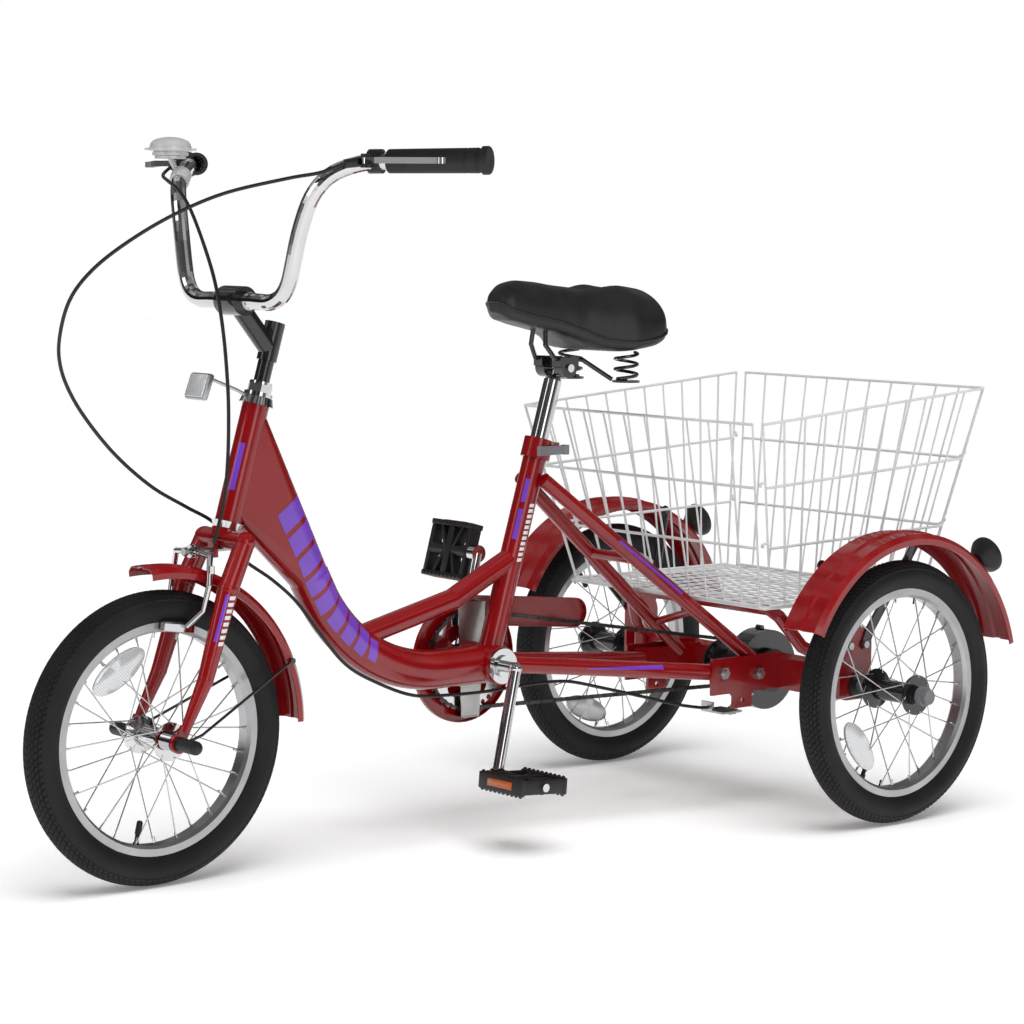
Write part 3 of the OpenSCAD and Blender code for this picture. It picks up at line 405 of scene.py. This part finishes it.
def wheelDetails(prefix, centre, body, reflectorAngle, valveAngle, side):
    turn = Matrix.Rotation(math.radians(-reflectorAngle), 4, "Y")
    lens = turnedPiece(prefix + "Lens", [(-4, 0), (-4, 18), (-2, 21), (2, 21), (4, 18), (4, 0)],
                       Vector((0, 0, 0)), (0, 1, 0), 28)
    lens.data.transform(Matrix.Diagonal((0.92, 1, 2.2, 1)))
    lens.data.transform(Matrix.Translation((wheelTrim["reflectorRadius"], side * 0.012, 0)))
    lens.data.transform(Matrix.Translation(centre) @ turn)
    settle(lens)
    dress(lens, clearLens, body)
    spin = Matrix.Rotation(math.radians(-valveAngle), 3, "Y")
    inward = spin @ Vector((-1, 0, 0))
    root = centre + spin @ Vector((0.1448, 0, 0))
    valve = turnedPiece(prefix + "Valve", [(0, 0), (0, 4.6), (2, 4.6), (4, 3.2), (14, 3.2),
                        (14.5, 4.3), (30, 4.3), (32, 3.4), (33, 2), (33, 0)], root, inward, 14)
    settle(valve)
    dress(valve, blackResin, body)
    nipples = []
    for k in range(wheelTrim["spokes"]):
        angle = k * math.tau / wheelTrim["spokes"]
        sign = 1 if k % 2 == 0 else -1
        lead = 1 if (k // 2) % 2 == 0 else -1
        out = Vector((math.cos(angle), 0, math.sin(angle)))
        foot = centre + out * 0.1445 + Vector((0, (sign * 3 + lead) / 1000, 0))
        bpy.ops.mesh.primitive_cone_add(vertices=6, radius1=0.0021, radius2=0.0015, depth=0.010,
                                        location=foot - out * 0.005,
                                        rotation=(-out).to_track_quat("Z", "Y").to_euler())
        nipples.append(bpy.context.object)
    nipple = joinPieces(prefix + "Nipples", nipples)
    settle(nipple)
    dress(nipple, mirrorChrome, body)


wheelDetails("front", frontHub, "front_wheel", 56, 282, 1)
wheelDetails("left", rearLeft, "left_wheel", 322, 300, 1)
wheelDetails("right", rearRight, "axle_unit", 290, 60, -1)
print("wheel details done")


basket = {"wire": 1.65, "rail": 2.25, "columns": 11, "sideColumns": 11, "floorPitch": 21}


def buildBasket():
    low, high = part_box("basket_floor")
    wallLow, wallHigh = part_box("basket_walls")
    z0 = high[2] - 0.0015
    half = high[1] - 0.003
    xFront = high[0] - 0.003
    xBack = low[0] + 0.003
    topHalf = wallHigh[1] - 0.004
    topBack = wallLow[0] + 0.0026
    topFront = wallHigh[0] - 0.0028
    zBack = wallHigh[2] - 0.0026
    zFront = zBack - 0.042
    halfFront = half + (topHalf - half) * (zFront - z0) / (zBack - z0)

    def wall(name, corners, columns, levels, tails):
        bottomA, bottomB, topB, topA = [Vector(c) for c in corners]
        rods = []
        for i in range(columns + 1):
            u = i / columns
            foot = bottomA.lerp(bottomB, u)
            head = topA.lerp(topB, u)
            rods.append([foot, foot.lerp(head, 1.0)])
        upright = wirePiece(name + "Rods", rods, basket["wire"], 1)
        rails = []
        for v in levels:
            a = bottomA.lerp(topA, v)
            b = bottomB.lerp(topB, v)
            rails.append([a, b])
        cross = wirePiece(name + "Rails", rails, basket["rail"], 2)
        for tail in tails:
            hook = wirePiece(name + "Hook", [tail], basket["rail"], 2, True)
            cross = joinPieces(name + "Rails", [cross, hook])
        piece = joinPieces(name, [upright, cross])
        settle(piece, 50)
        dress(piece, basketWhite, "frame")
        return piece

    def hookRun(place, along, away):
        place = Vector(place)
        along = Vector(along)
        away = Vector(away)
        return [place, place + along * 0.008, place + along * 0.013 + away * 0.004,
                place + along * 0.010 + away * 0.010, place + along * 0.002 + away * 0.012]

    gap = 0.011
    pieces = []
    levels = [0.012, 0.33, 0.66, 1.0]
    for s in (1, -1):
        a = (xBack + gap, s * half, z0)
        b = (xFront - gap, s * half, z0)
        c = (topFront - gap, s * halfFront, zFront)
        d = (topBack + gap, s * topHalf, zBack)
        tails = []
        for v in (0.36, 0.69):
            p = Vector(b).lerp(Vector(c), v)
            tails.append(hookRun(p, (0.6, 0, 0), (0, -s * 0.7, -0.5)))
            q = Vector(a).lerp(Vector(d), v)
            tails.append(hookRun(q, (-0.4, 0, 0), (0.2, -s * 0.6, -0.5)))
        pieces.append(wall("basketLeft" if s > 0 else "basketRight", (a, b, c, d),
                           basket["sideColumns"], levels, tails))
    pieces.append(wall("basketFront", ((xFront, half - gap, z0), (xFront, gap - half, z0),
                       (topFront, gap - halfFront, zFront), (topFront, halfFront - gap, zFront)),
                       basket["columns"], levels, []))
    pieces.append(wall("basketBack", ((xBack, half - gap, z0), (xBack, gap - half, z0),
                       (topBack, gap - topHalf, zBack), (topBack, topHalf - gap, zBack)),
                       basket["columns"], levels, []))
    for piece in pieces:
        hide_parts("basket_walls")
    lengths = []
    across = []
    zf = low[2] + 0.0035
    count = round((xFront - xBack) * 1000 / basket["floorPitch"])
    for i in range(count + 1):
        x = xBack + (xFront - xBack) * i / count
        across.append([(x, -half, zf), (x, half, zf)])
    count = round(2 * half * 1000 / basket["floorPitch"] / 1.6)
    for i in range(count + 1):
        y = -half + 2 * half * i / count
        lengths.append([(xBack, y, zf + 0.0022), (xFront, y, zf + 0.0022)])
    grid = joinPieces("basketGrid", [wirePiece("g1", across, 1.3, 1), wirePiece("g2", lengths, 1.3, 1)])
    rim = wirePiece("basketRim", [[(xBack, -half, zf), (xFront, -half, zf), (xFront, half, zf),
                    (xBack, half, zf), (xBack, -half, zf)]], 2.2, 2)
    bars = []
    for x in (-84, 100):
        bars.append(boxPiece("bar", at(x, 0, 0) + Vector((0, 0, low[2] + 0.0012)),
                             (24, half * 2000, 2), 0.5))
    floor = joinPieces("basketFloor", [grid, rim] + bars)
    settle(floor, 50)
    dress(floor, basketWhite, "frame")
    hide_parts("basket_floor")


buildBasket()
print("basket done")


saddle = {"length": 278, "halfWidth": 104, "rings": 46, "points": 48}


def table(u, rows):
    for (a, p), (b, q) in zip(rows, rows[1:]):
        if u <= b:
            t = (u - a) / (b - a)
            t = t * t * (3 - 2 * t) * 0.35 + t * 0.65
            return p + (q - p) * t
    return rows[-1][1]


def buildSaddle():
    low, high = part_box("saddle_cover")
    width = [(0, 0.46), (0.02, 0.68), (0.05, 0.86), (0.1, 0.97), (0.18, 1), (0.28, 0.96), (0.4, 0.76),
             (0.52, 0.54), (0.66, 0.4), (0.84, 0.34), (0.94, 0.28), (0.98, 0.21), (1, 0.1)]
    top = [(0, 78), (0.02, 92), (0.04, 100), (0.12, 115), (0.25, 120), (0.4, 114), (0.5, 113),
           (0.62, 116), (0.75, 121), (0.855, 123), (0.93, 119), (0.975, 109), (1, 94)]
    under = [(0, 52), (0.04, 36), (0.15, 24), (0.3, 18), (0.42, 21), (0.54, 36), (0.65, 47), (0.78, 54),
             (0.94, 64), (1, 76)]
    base = high[2] - 0.124
    mesh = bmesh.new()
    rings = []
    piping = {1: [], -1: []}
    for i in range(saddle["rings"]):
        u = 0.5 - 0.5 * math.cos(math.pi * i / (saddle["rings"] - 1))
        w = saddle["halfWidth"] * table(u, width) / 1000
        hi = table(u, top) / 1000
        lo = table(u, under) / 1000
        x = low[0] + u * (high[0] - low[0])
        ring = []
        for k in range(saddle["points"]):
            a = k * math.tau / saddle["points"]
            c = math.cos(a)
            s = math.sin(a)
            y = w * math.copysign(abs(c) ** (0.75 if s > 0 else 0.42), c)
            crown = hi - lo - 0.018
            z = lo + 0.018 + crown * s ** 0.8 if s > 0 else lo + 0.018 - 0.018 * (-s) ** 0.6
            if s > 0:
                valley = math.exp(-(y / 0.022) ** 2) * max(0.0, 1 - abs(u - 0.2) / 0.3)
                z -= 0.013 * valley
            ring.append(mesh.verts.new((x, y, base + z)))
        rings.append(ring)
        for side in (1, -1):
            piping[side].append((x, side * (w + 0.0006), base + lo + 0.016))
    n = saddle["points"]
    for a, b in zip(rings, rings[1:]):
        for k in range(n):
            mesh.faces.new((a[k], a[(k + 1) % n], b[(k + 1) % n], b[k]))
    mesh.faces.new(list(reversed(rings[0])))
    mesh.faces.new(rings[-1])
    data = bpy.data.meshes.new("saddleCover")
    mesh.to_mesh(data)
    mesh.free()
    obj = bpy.data.objects.new("saddleCover", data)
    scene.collection.objects.link(obj)
    tidyShell(obj)
    obj.modifiers.new("round", "SUBSURF").levels = 1
    obj.modifiers["round"].render_levels = 1
    applyAll(obj)
    settle(obj, 60)
    dress(obj, saddleVinyl, "saddle")
    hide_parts("saddle_cover")
    edge = wirePiece("saddlePiping", [piping[1] + piping[-1][::-1] + piping[1][:1]], 1.9, 2)
    settle(edge, 60)
    dress(edge, blackResin, "saddle")


buildSaddle()
print("saddle done")


gripStart = at(908.3, 222, 970.5)
gripDir = Vector((-0.497, 0.867, 0.014)).normalized()
flipY = Matrix.Diagonal((1, -1, 1, 1))


def mirrored(obj, name):
    twin = copyOf(obj, name, flipY)
    twin.data.flip_normals()
    return twin


def buildGrips():
    profile = [(0, 11.3), (0, 15.2), (1, 15.8), (24, 16), (24.8, 15.5), (25.6, 15.5), (26.4, 16),
               (108, 16.4), (108.8, 15.6), (110.2, 15.6), (111, 16.4), (125, 16.6), (126, 15.4),
               (129.5, 15.4), (130.4, 17.4), (131.4, 18.6), (138.4, 18.6), (139.7, 17.6), (140, 15.5),
               (140, 6), (139.3, 0)]
    left = turnedPiece("gripLeft", profile, gripStart, gripDir, 40)
    settle(left, 30)
    right = mirrored(left, "gripRight")
    for piece in (left, right):
        dress(piece, gripRubber, "bars")
        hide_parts("grips")


buildGrips()


def buildBell():
    centre = Vector(jointAt["bell_twist"]["pos_m"])
    low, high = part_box("bell_dome")
    base = Vector((centre.x, centre.y, low[2]))
    dome = [(0, 3.2), (0, 24), (0.6, 25.4), (4.4, 25.4), (4.8, 24), (6.2, 24), (6.6, 29.4), (7.2, 30),
            (10.4, 30), (11, 29.2), (13, 29), (17, 27.6), (20.5, 24.5), (23, 19.5), (24.8, 12.5),
            (25.8, 6), (26, 0)]
    shell = turnedPiece("bellShell", dome, base, (0, 0, 1), 56)
    ears = boxPiece("ears", base + Vector((0, 0, 0.0088)), (72, 10, 3.6), 1.2)
    turnAbout(ears, base, "Z", -41)
    piece = joinPieces("bellDome", [shell, ears])
    settle(piece, 40)
    dress(piece, bellSilver, "bell")
    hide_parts("bell_dome")


buildBell()
print("bar fittings done")


pedal = {"length": 94, "width": 88, "teeth": 10}


def buildPedal(name, node, body, centre, turn, side):
    parts = []
    for edge in (-1, 1):
        x = centre.x + edge * (pedal["width"] / 2 - 4.5) / 1000
        parts.append(boxPiece("rail", (x, centre.y, centre.z), (8, pedal["length"], 24), 1.5))
        for k in range(pedal["teeth"]):
            y = centre.y + (k - (pedal["teeth"] - 1) / 2) * 0.0092
            for up in (-1, 1):
                bpy.ops.mesh.primitive_cone_add(vertices=4, radius1=0.0042, radius2=0.0016, depth=0.004,
                                                location=(x, y, centre.z + up * 0.0128),
                                                rotation=(0 if up > 0 else math.pi, 0, math.pi / 4))
                parts.append(bpy.context.object)
    for y in (-pedal["length"] / 2 + 4.5, 0, pedal["length"] / 2 - 4.5):
        parts.append(boxPiece("end", (centre.x, centre.y + y / 1000, centre.z),
                              (pedal["width"] - 8, 8 if y else 13, 20), 1.2))
    for y in (-1, 1):
        for edge in (-1, 1):
            place = centre + Vector((edge * 0.021, y * 0.017, 0))
            lug = boxPiece("lug", place, (44, 6, 18), 1.2)
            turnAbout(lug, place, "Z", edge * y * 24)
            parts.append(lug)
    barrel = turnedPiece("barrel", [(-43, 6.2), (-43, 11), (-38, 12), (-20, 9.5), (20, 9.5), (36, 11.5),
                         (42, 11.5), (43, 9), (43, 6.2), (-43, 6.2)], centre, (0, side, 0), 24)
    parts.append(barrel)
    piece = joinPieces(name, parts)
    turnAbout(piece, centre, "Y", turn)
    settle(piece, 35)
    dress(piece, blackResin, body)
    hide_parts(node)
    lenses = []
    for edge in (-1, 1):
        lenses.append(boxPiece("lens", (centre.x + edge * (pedal["width"] / 2 - 0.4) / 1000,
                               centre.y, centre.z), (2.4, 52, 11), 0.6))
    lens = joinPieces(name + "Lens", lenses)
    turnAbout(lens, centre, "Y", turn)
    settle(lens, 35)
    dress(lens, amberLens, body)


buildPedal("leftPedal", "pedal_left", "left_pedal", middle("pedal_left"), -4, 1)
buildPedal("rightPedal", "pedal_right", "right_pedal", middle("pedal_right"), 75, -1)
print("pedals done")


chainLine = {"ringTeeth": 36, "sprocketTeeth": 18, "pitch": 12.7, "y": -45}


def chainPath():
    a = at(0, chainLine["y"], axleZ * 1000)
    low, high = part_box("chainring")
    b = Vector(((low[0] + high[0]) / 2, chainLine["y"] / 1000, (low[2] + high[2]) / 2))
    ra = chainLine["pitch"] / (2000 * math.sin(math.pi / chainLine["sprocketTeeth"]))
    rb = chainLine["pitch"] / (2000 * math.sin(math.pi / chainLine["ringTeeth"]))
    gap = (b - a).length
    tilt = math.atan2(b.z - a.z, b.x - a.x)
    f = math.acos((ra - rb) / gap)
    run = math.sqrt(gap ** 2 - (rb - ra) ** 2)
    parts = [rb * 2 * f, run, ra * (math.tau - 2 * f), run]
    total = sum(parts)
    count = 2 * round(total / 0.0127 / 2)

    def where(s):
        s = s % total
        if s < parts[0]:
            angle = tilt - f + s / rb
            return b + rb * Vector((math.cos(angle), 0, math.sin(angle)))
        s -= parts[0]
        up = Vector((math.cos(tilt + f), 0, math.sin(tilt + f)))
        if s < run:
            return (b + rb * up).lerp(a + ra * up, s / run)
        s -= run
        if s < parts[2]:
            angle = tilt + f + s / ra
            return a + ra * Vector((math.cos(angle), 0, math.sin(angle)))
        s -= parts[2]
        down = Vector((math.cos(tilt - f), 0, math.sin(tilt - f)))
        return (a + ra * down).lerp(b + rb * down, s / run)

    return [where(total * i / count) for i in range(count)]


def buildChain():
    pins = chainPath()
    shell = bmesh.new()
    for i, start in enumerate(pins):
        end = pins[(i + 1) % len(pins)]
        along = (end - start).normalized()
        up = Vector((0, 1, 0)).cross(along)
        length = (end - start).length
        offset = 0.0030 if i % 2 else 0.0019
        for side in (-1, 1):
            outline = []
            for k in range(12):
                angle = k * math.tau / 12 + math.tau / 24
                c = math.cos(angle)
                s = math.sin(angle)
                x = (length if c > 0 else 0) + c * 0.0042
                waist = 0.62 if abs(c) < 0.3 else 1
                outline.append(start + along * x + up * (s * 0.0042 * waist))
            layers = []
            for y in (offset - 0.00045, offset + 0.00045):
                layers.append([shell.verts.new(p + Vector((0, side * y, 0))) for p in outline])
            inner, outer = layers
            shell.faces.new(outer)
            shell.faces.new(inner[::-1])
            for k in range(12):
                shell.faces.new((inner[k], inner[(k + 1) % 12], outer[(k + 1) % 12], outer[k]))
        roller = []
        for y in (-0.0036, 0.0036):
            ring = []
            for k in range(8):
                angle = k * math.tau / 8
                spot = start + Vector((math.cos(angle), 0, math.sin(angle))) * 0.0022
                ring.append(shell.verts.new(spot + Vector((0, y, 0))))
            roller.append(ring)
        shell.faces.new(roller[0])
        shell.faces.new(roller[1][::-1])
        for k in range(8):
            shell.faces.new((roller[0][k], roller[0][(k + 1) % 8], roller[1][(k + 1) % 8], roller[1][k]))
    bmesh.ops.recalc_face_normals(shell, faces=shell.faces)
    data = bpy.data.meshes.new("chainLinks")
    shell.to_mesh(data)
    shell.free()
    obj = bpy.data.objects.new("chainLinks", data)
    scene.collection.objects.link(obj)
    settle(obj, 35)
    dress(obj, darkSteel, "frame")
    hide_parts("chain")


buildChain()
print("chain done")


cable = {"radius": 2.5}
rearRoute = [
    (964.3, 197.7, 965.6), (988, 179, 954), (1016, 146, 946), (1080, 98, 926), (1140, 72, 898),
    (1195, 50, 863),
    (1240, 32, 825), (1266, 18, 785), (1270, 0, 734), (1262, -8, 695), (1238, -16, 655),
    (1200, -24, 612), (1155, -31, 571), (1100, -37, 532), (1045, -42, 504), (996, -40, 477),
    (960, -30, 430), (925, -8, 400), (895, 10, 368), (855, 15, 318), (812, 15, 274),
    (760, 15, 245), (690, 15, 219), (615, 15, 213), (545, 15, 212), (475, 17, 215),
    (403, 20, 214), (340, 32, 200), (270, 48, 182), (210, 57, 166), (165, 60, 157),
    (140, 60, 154), (100, 60, 149)]
frontRoute = [
    (964.3, -197.7, 965.6), (990, -181, 953), (1008, -142, 944), (1013, -110, 932), (1016, -78, 908),
    (1020, -40, 862),
    (1022, -8, 808), (1024, 14, 745), (1026, 28, 677), (1028, 34, 625), (1032, 38, 570),
    (1040, 42, 520), (1050, 44, 487), (1058, 45, 462), (1061, 44, 433)]


def finePath(points, steps=6):
    out = []
    places = [Vector(p) for p in points]
    for i in range(len(places) - 1):
        a = places[max(i - 1, 0)]
        b = places[i]
        c = places[i + 1]
        d = places[min(i + 2, len(places) - 1)]
        for j in range(steps):
            t = j / steps
            out.append(0.5 * (2 * b + (c - a) * t + (2 * a - 5 * b + 4 * c - d) * t * t
                              + (3 * b - a - 3 * c + d) * t ** 3))
    out.append(places[-1])
    return [at(*p) for p in out]


def cableStretch(name, path, bodyA, bodyB, radius=None):
    obj = wirePiece(name, [path], radius or cable["radius"], 3)
    settle(obj, 60)
    obj.data.materials.clear()
    obj.data.materials.append(blackResin)
    if bodyB:
        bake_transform(obj)
    else:
        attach(obj, bodyA)
    return obj


rearPath = finePath(rearRoute)
parts = [cableStretch("rearCableBar", rearPath[:31], "bars", "stem_unit"),
         cableStretch("rearCableStem", rearPath[30:49], "stem_unit", "fork_unit"),
         cableStretch("rearCableFork", rearPath[48:97], "fork_unit", "frame"),
         cableStretch("rearCableFrame", rearPath[96:187], "frame", None),
         cableStretch("rearCableInner", rearPath[186:], "frame", None, 0.9)]
for piece in parts:
    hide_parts("rear_brake_cable")
frontPath = finePath(frontRoute)
parts = [cableStretch("frontCableBar", frontPath[:31], "bars", "stem_unit"),
         cableStretch("frontCableStem", frontPath[30:55], "stem_unit", "fork_unit"),
         cableStretch("frontCableFork", frontPath[54:79], "fork_unit", None),
         cableStretch("frontCableInner", frontPath[78:], "fork_unit", None, 0.9)]
for piece in parts:
    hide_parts("front_brake_cable")
print("cables done")


def buildReflectors():
    low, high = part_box("front_reflector")
    face = Vector((high[0] - 0.0085, 0, high[2] - 0.0205))
    housing = boxPiece("reflectorHousing", face - Vector((0.006, 0, 0)), (9, 45, 37), 3)
    turnAbout(housing, face, "Y", -20)
    bracket = wirePiece("reflectorBracket", [[face + Vector((-0.010, 0, 0.010)),
                        face + Vector((-0.020, 0, 0.009)), face + Vector((-0.066, 0, -0.008)),
                        face + Vector((-0.079, 0, -0.014))]], 2.4, 2)
    piece = joinPieces("frontReflectorHousing", [housing, bracket])
    settle(piece)
    dress(piece, satinAlloy, "fork_unit")
    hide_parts("front_reflector")
    lens = boxPiece("frontReflectorLens", face - Vector((0.001, 0, 0)), (3, 40, 32), 1.2)
    turnAbout(lens, face, "Y", -20)
    settle(lens)
    dress(lens, clearLens, "fork_unit")
    axis = Vector((-27, 0, 9)).normalized()
    low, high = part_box("rear_reflectors")
    for side, tag in ((1, "Left"), (-1, "Right")):
        root = Vector((high[0] - 0.006, side * rearLeft.y, low[2] + 0.040))
        cup = turnedPiece("reflectorCup" + tag, [(0, 0), (0, 12), (3, 15), (10, 19), (18, 25.5),
                          (23, 28.4), (27, 28.6), (28, 27.4), (27.4, 26), (24, 25.6), (24, 0)],
                          root, axis, 40)
        settle(cup, 40)
        dress(cup, blackResin, "frame")
        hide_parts("rear_reflectors")
        glass = turnedPiece("reflectorGlass" + tag, [(24.2, 0), (24.2, 25.4), (28, 25.4), (30.4, 23),
                            (31.8, 14), (32.2, 0)], root, axis, 40)
        settle(glass, 40)
        dress(glass, redLens, "frame")


buildReflectors()
print("reflectors done")


stripe = {"lift": 0.0003, "thickness": 0.0003}


def layStripe(name, target, outline, body, finish, slotName, side=1):
    # outline in the side view, laid against the tube from the given side
    mesh = bmesh.new()
    corners = [mesh.verts.new(at(x, side * 140, z)) for x, z in outline]
    mesh.faces.new(corners)
    data = bpy.data.meshes.new(name)
    mesh.to_mesh(data)
    mesh.free()
    obj = bpy.data.objects.new(name, data)
    scene.collection.objects.link(obj)
    pick(obj)
    bpy.ops.object.mode_set(mode="EDIT")
    bpy.ops.mesh.select_all(action="SELECT")
    bpy.ops.mesh.subdivide(number_cuts=9)
    bpy.ops.object.mode_set(mode="OBJECT")
    wrap = obj.modifiers.new("wrap", "SHRINKWRAP")
    wrap.target = nodes[target]
    wrap.wrap_method = "PROJECT"
    wrap.use_project_y = True
    wrap.use_negative_direction = side > 0
    wrap.use_positive_direction = side < 0
    wrap.offset = stripe["lift"]
    bpy.ops.object.modifier_apply(modifier="wrap")
    thick = obj.modifiers.new("thick", "SOLIDIFY")
    thick.thickness = stripe["thickness"]
    thick.offset = 0
    bpy.ops.object.modifier_apply(modifier="thick")
    tidyShell(obj)
    settle(obj, 40)
    return dress(obj, finish, body)


def band(a, b, width, shift=0.0, slant=0.0):
    # four corners of a bar from a to b in the side view
    d = Vector((b[0] - a[0], b[1] - a[1]))
    d.normalize()
    n = Vector((-d.y, d.x))
    a = Vector(a) + n * shift
    b = Vector(b) + n * shift
    w = width / 2
    return [tuple(a + n * w + d * slant), tuple(a - n * w - d * slant),
            tuple(b - n * w - d * slant), tuple(b + n * w + d * slant)]


def buildStripes():
    purple = ("frame", stripePurple, "red_paint")
    line = [(918, 505), (893, 452), (870, 405), (845, 362), (812, 325), (780, 298), (752, 281)]
    dense = []
    for a, b in zip(line, line[1:]):
        for j in range(8):
            dense.append((a[0] + (b[0] - a[0]) * j / 8, a[1] + (b[1] - a[1]) * j / 8))
    bars = []
    place = 0
    for k in range(9):
        a = dense[place]
        b = dense[place + 4]
        width = (44, 43, 42, 41, 40, 39, 37, 34, 28)[k]
        bars.append(layStripe("bar", "main_frame", band(a, b, width, 1, 5), *purple))
        place += 5
    joinPieces("beamStripes", bars)
    pieces = [
        layStripe("s", "main_frame", band((476, 484), (466, 518), 4.5, -9.5), *purple),
        layStripe("s", "main_frame", band((492, 430), (479, 474), 4.5, -9.5), *purple),
        layStripe("s", "main_frame", band((992, 525), (974, 588), 5, -15), *purple)]
    joinPieces("tubeStripes", pieces)
    whites = []
    for k in range(11):
        x = 497 - k * 2.3
        z = 400 + k * 7.9
        whites.append(layStripe("w", "main_frame", band((x, z), (x - 1.4, z + 4.9), 8.5, 1, 1), "frame",
                                stripeWhite, "red_paint"))
    joinPieces("tubeDashes", whites)
    layStripe("stayStripe", "rear_stays", band((330, 424), (215, 338), 4.5), *purple)
    layStripe("chainStayStripe", "rear_stays", [(392, 237), (392, 235.5), (256, 226), (256, 233)],
              *purple)
    layStripe("forkStripe", "fork", band((1040, 392), (1060, 330), 4, 9), "fork_unit", stripePurple,
              "red_paint")
    dashes = []
    for k in range(8):
        x = 1044 + k * 2.6
        z = 393 - k * 8.6
        dashes.append(layStripe("w", "fork", band((x, z), (x + 1.4, z - 5), 9, -3, 1), "fork_unit",
                                stripeWhite, "red_paint"))
    joinPieces("forkDashes", dashes)


buildStripes()
print("stripes done")


camera = {"place": (3241.3, 3178.4, 880.3), "yaw": -130.82, "pitch": -5.56, "roll": 0.88, "lens": 100.85}


def setCamera():
    yaw = math.radians(camera["yaw"])
    pitch = math.radians(camera["pitch"])
    roll = math.radians(camera["roll"])
    ahead = Vector((math.cos(pitch) * math.cos(yaw), math.cos(pitch) * math.sin(yaw), math.sin(pitch)))
    right = ahead.cross(Vector((0, 0, 1))).normalized()
    up = right.cross(ahead)
    tiltRight = right * math.cos(roll) + up * math.sin(roll)
    tiltUp = up * math.cos(roll) - right * math.sin(roll)
    turn = Matrix((tiltRight, tiltUp, -ahead)).transposed().to_4x4()
    clearSelection()
    bpy.ops.object.camera_add()
    obj = bpy.context.object
    obj.name = "studioCamera"
    obj.matrix_world = Matrix.Translation(at(*camera["place"])) @ turn
    obj.data.lens = camera["lens"]
    obj.data.sensor_width = 36
    obj.data.clip_end = 60
    scene.camera = obj


def areaLight(name, place, target, size, power, sizeY=None):
    bpy.ops.object.light_add(type="AREA", location=place)
    lamp = bpy.context.object
    lamp.name = name
    lamp.data.shape = "RECTANGLE"
    lamp.data.size = size
    lamp.data.size_y = sizeY or size
    lamp.data.energy = power
    lamp.rotation_euler = (Vector(target) - Vector(place)).to_track_quat("-Z", "Y").to_euler()
    return lamp


setCamera()
bpy.ops.mesh.primitive_plane_add(size=40, location=(0, 0, -0.0005))
floor = bpy.context.object
floor.name = "studioFloor"
floorMaterial, floorTree, floorShader, floorCoords = startMaterial("paleFloor")
floorShader.inputs["Base Color"].default_value = (0.99, 0.99, 0.99, 1)
floorShader.inputs["Roughness"].default_value = 0.8
floorShader.inputs["Emission Color"].default_value = (1, 1, 1, 1)
floorShader.inputs["Emission Strength"].default_value = 0.16
floorShader.inputs["Specular IOR Level"].default_value = 0.1
floor.data.materials.append(floorMaterial)


def sunLight(name, target, height, power, softness):
    bpy.ops.object.light_add(type="SUN", location=(0, 0, 3))
    lamp = bpy.context.object
    lamp.name = name
    lamp.data.energy = power
    lamp.data.angle = math.radians(softness)
    lamp.visible_glossy = False
    lamp.rotation_euler = (-Vector((*target, height))).to_track_quat("-Z", "Y").to_euler()


sunLight("ceilingLight", (0.25, 0.5), 1.6, 2.35, 46)
areaLight("sideLight", (1.2, 3.6, 1.6), (0, 0, 0.5), 1.4, 16, 2.0)
areaLight("noseLight", (3.4, -0.6, 1.8), (0.2, 0, 0.5), 0.7, 9, 2.2)


def studioWorld():
    # a white room seen by the camera, a banded softbox room seen by the paint and chrome
    world = bpy.data.worlds.new("studioWorld")
    scene.world = world
    world.use_nodes = True
    tree = world.node_tree
    back = tree.nodes["Background"]
    coords = tree.nodes.new("ShaderNodeTexCoord")
    split = tree.nodes.new("ShaderNodeSeparateXYZ")
    tree.links.new(coords.outputs["Generated"], split.inputs["Vector"])
    height = tree.nodes.new("ShaderNodeMapRange")
    height.inputs["From Min"].default_value = -1
    tree.links.new(split.outputs["Z"], height.inputs["Value"])
    room = rampNode(tree, height.outputs["Result"], [(0.0, (0.7, 0.7, 0.7)), (0.5, (0.5, 0.5, 0.5)),
                    (0.56, (0.05, 0.05, 0.05)), (0.68, (0.10, 0.10, 0.10)), (0.76, (0.6, 0.6, 0.6)),
                    (0.86, (0.2, 0.2, 0.2)), (1.0, (0.4, 0.4, 0.4))])
    bands = tree.nodes.new("ShaderNodeTexWave")
    bands.inputs["Scale"].default_value = 1.1
    bands.inputs["Distortion"].default_value = 1.5
    tree.links.new(coords.outputs["Generated"], bands.inputs["Vector"])
    strips = rampNode(tree, bands.outputs["Fac"], [(0.3, (0.22, 0.22, 0.22)), (0.62, (1, 1, 1))])
    product = tree.nodes.new("ShaderNodeMix")
    product.data_type = "RGBA"
    product.blend_type = "MULTIPLY"
    product.inputs["Factor"].default_value = 1
    tree.links.new(room.outputs["Color"], product.inputs["A"])
    tree.links.new(strips.outputs["Color"], product.inputs["B"])
    rays = tree.nodes.new("ShaderNodeLightPath")
    seen = tree.nodes.new("ShaderNodeMix")
    seen.data_type = "RGBA"
    tree.links.new(rays.outputs["Is Camera Ray"], seen.inputs["Factor"])
    tree.links.new(product.outputs["Result"], seen.inputs["A"])
    seen.inputs["B"].default_value = (1, 1, 1, 1)
    tree.links.new(seen.outputs["Result"], back.inputs["Color"])


studioWorld()
scene.view_settings.view_transform = "Standard"
print("studio ready")
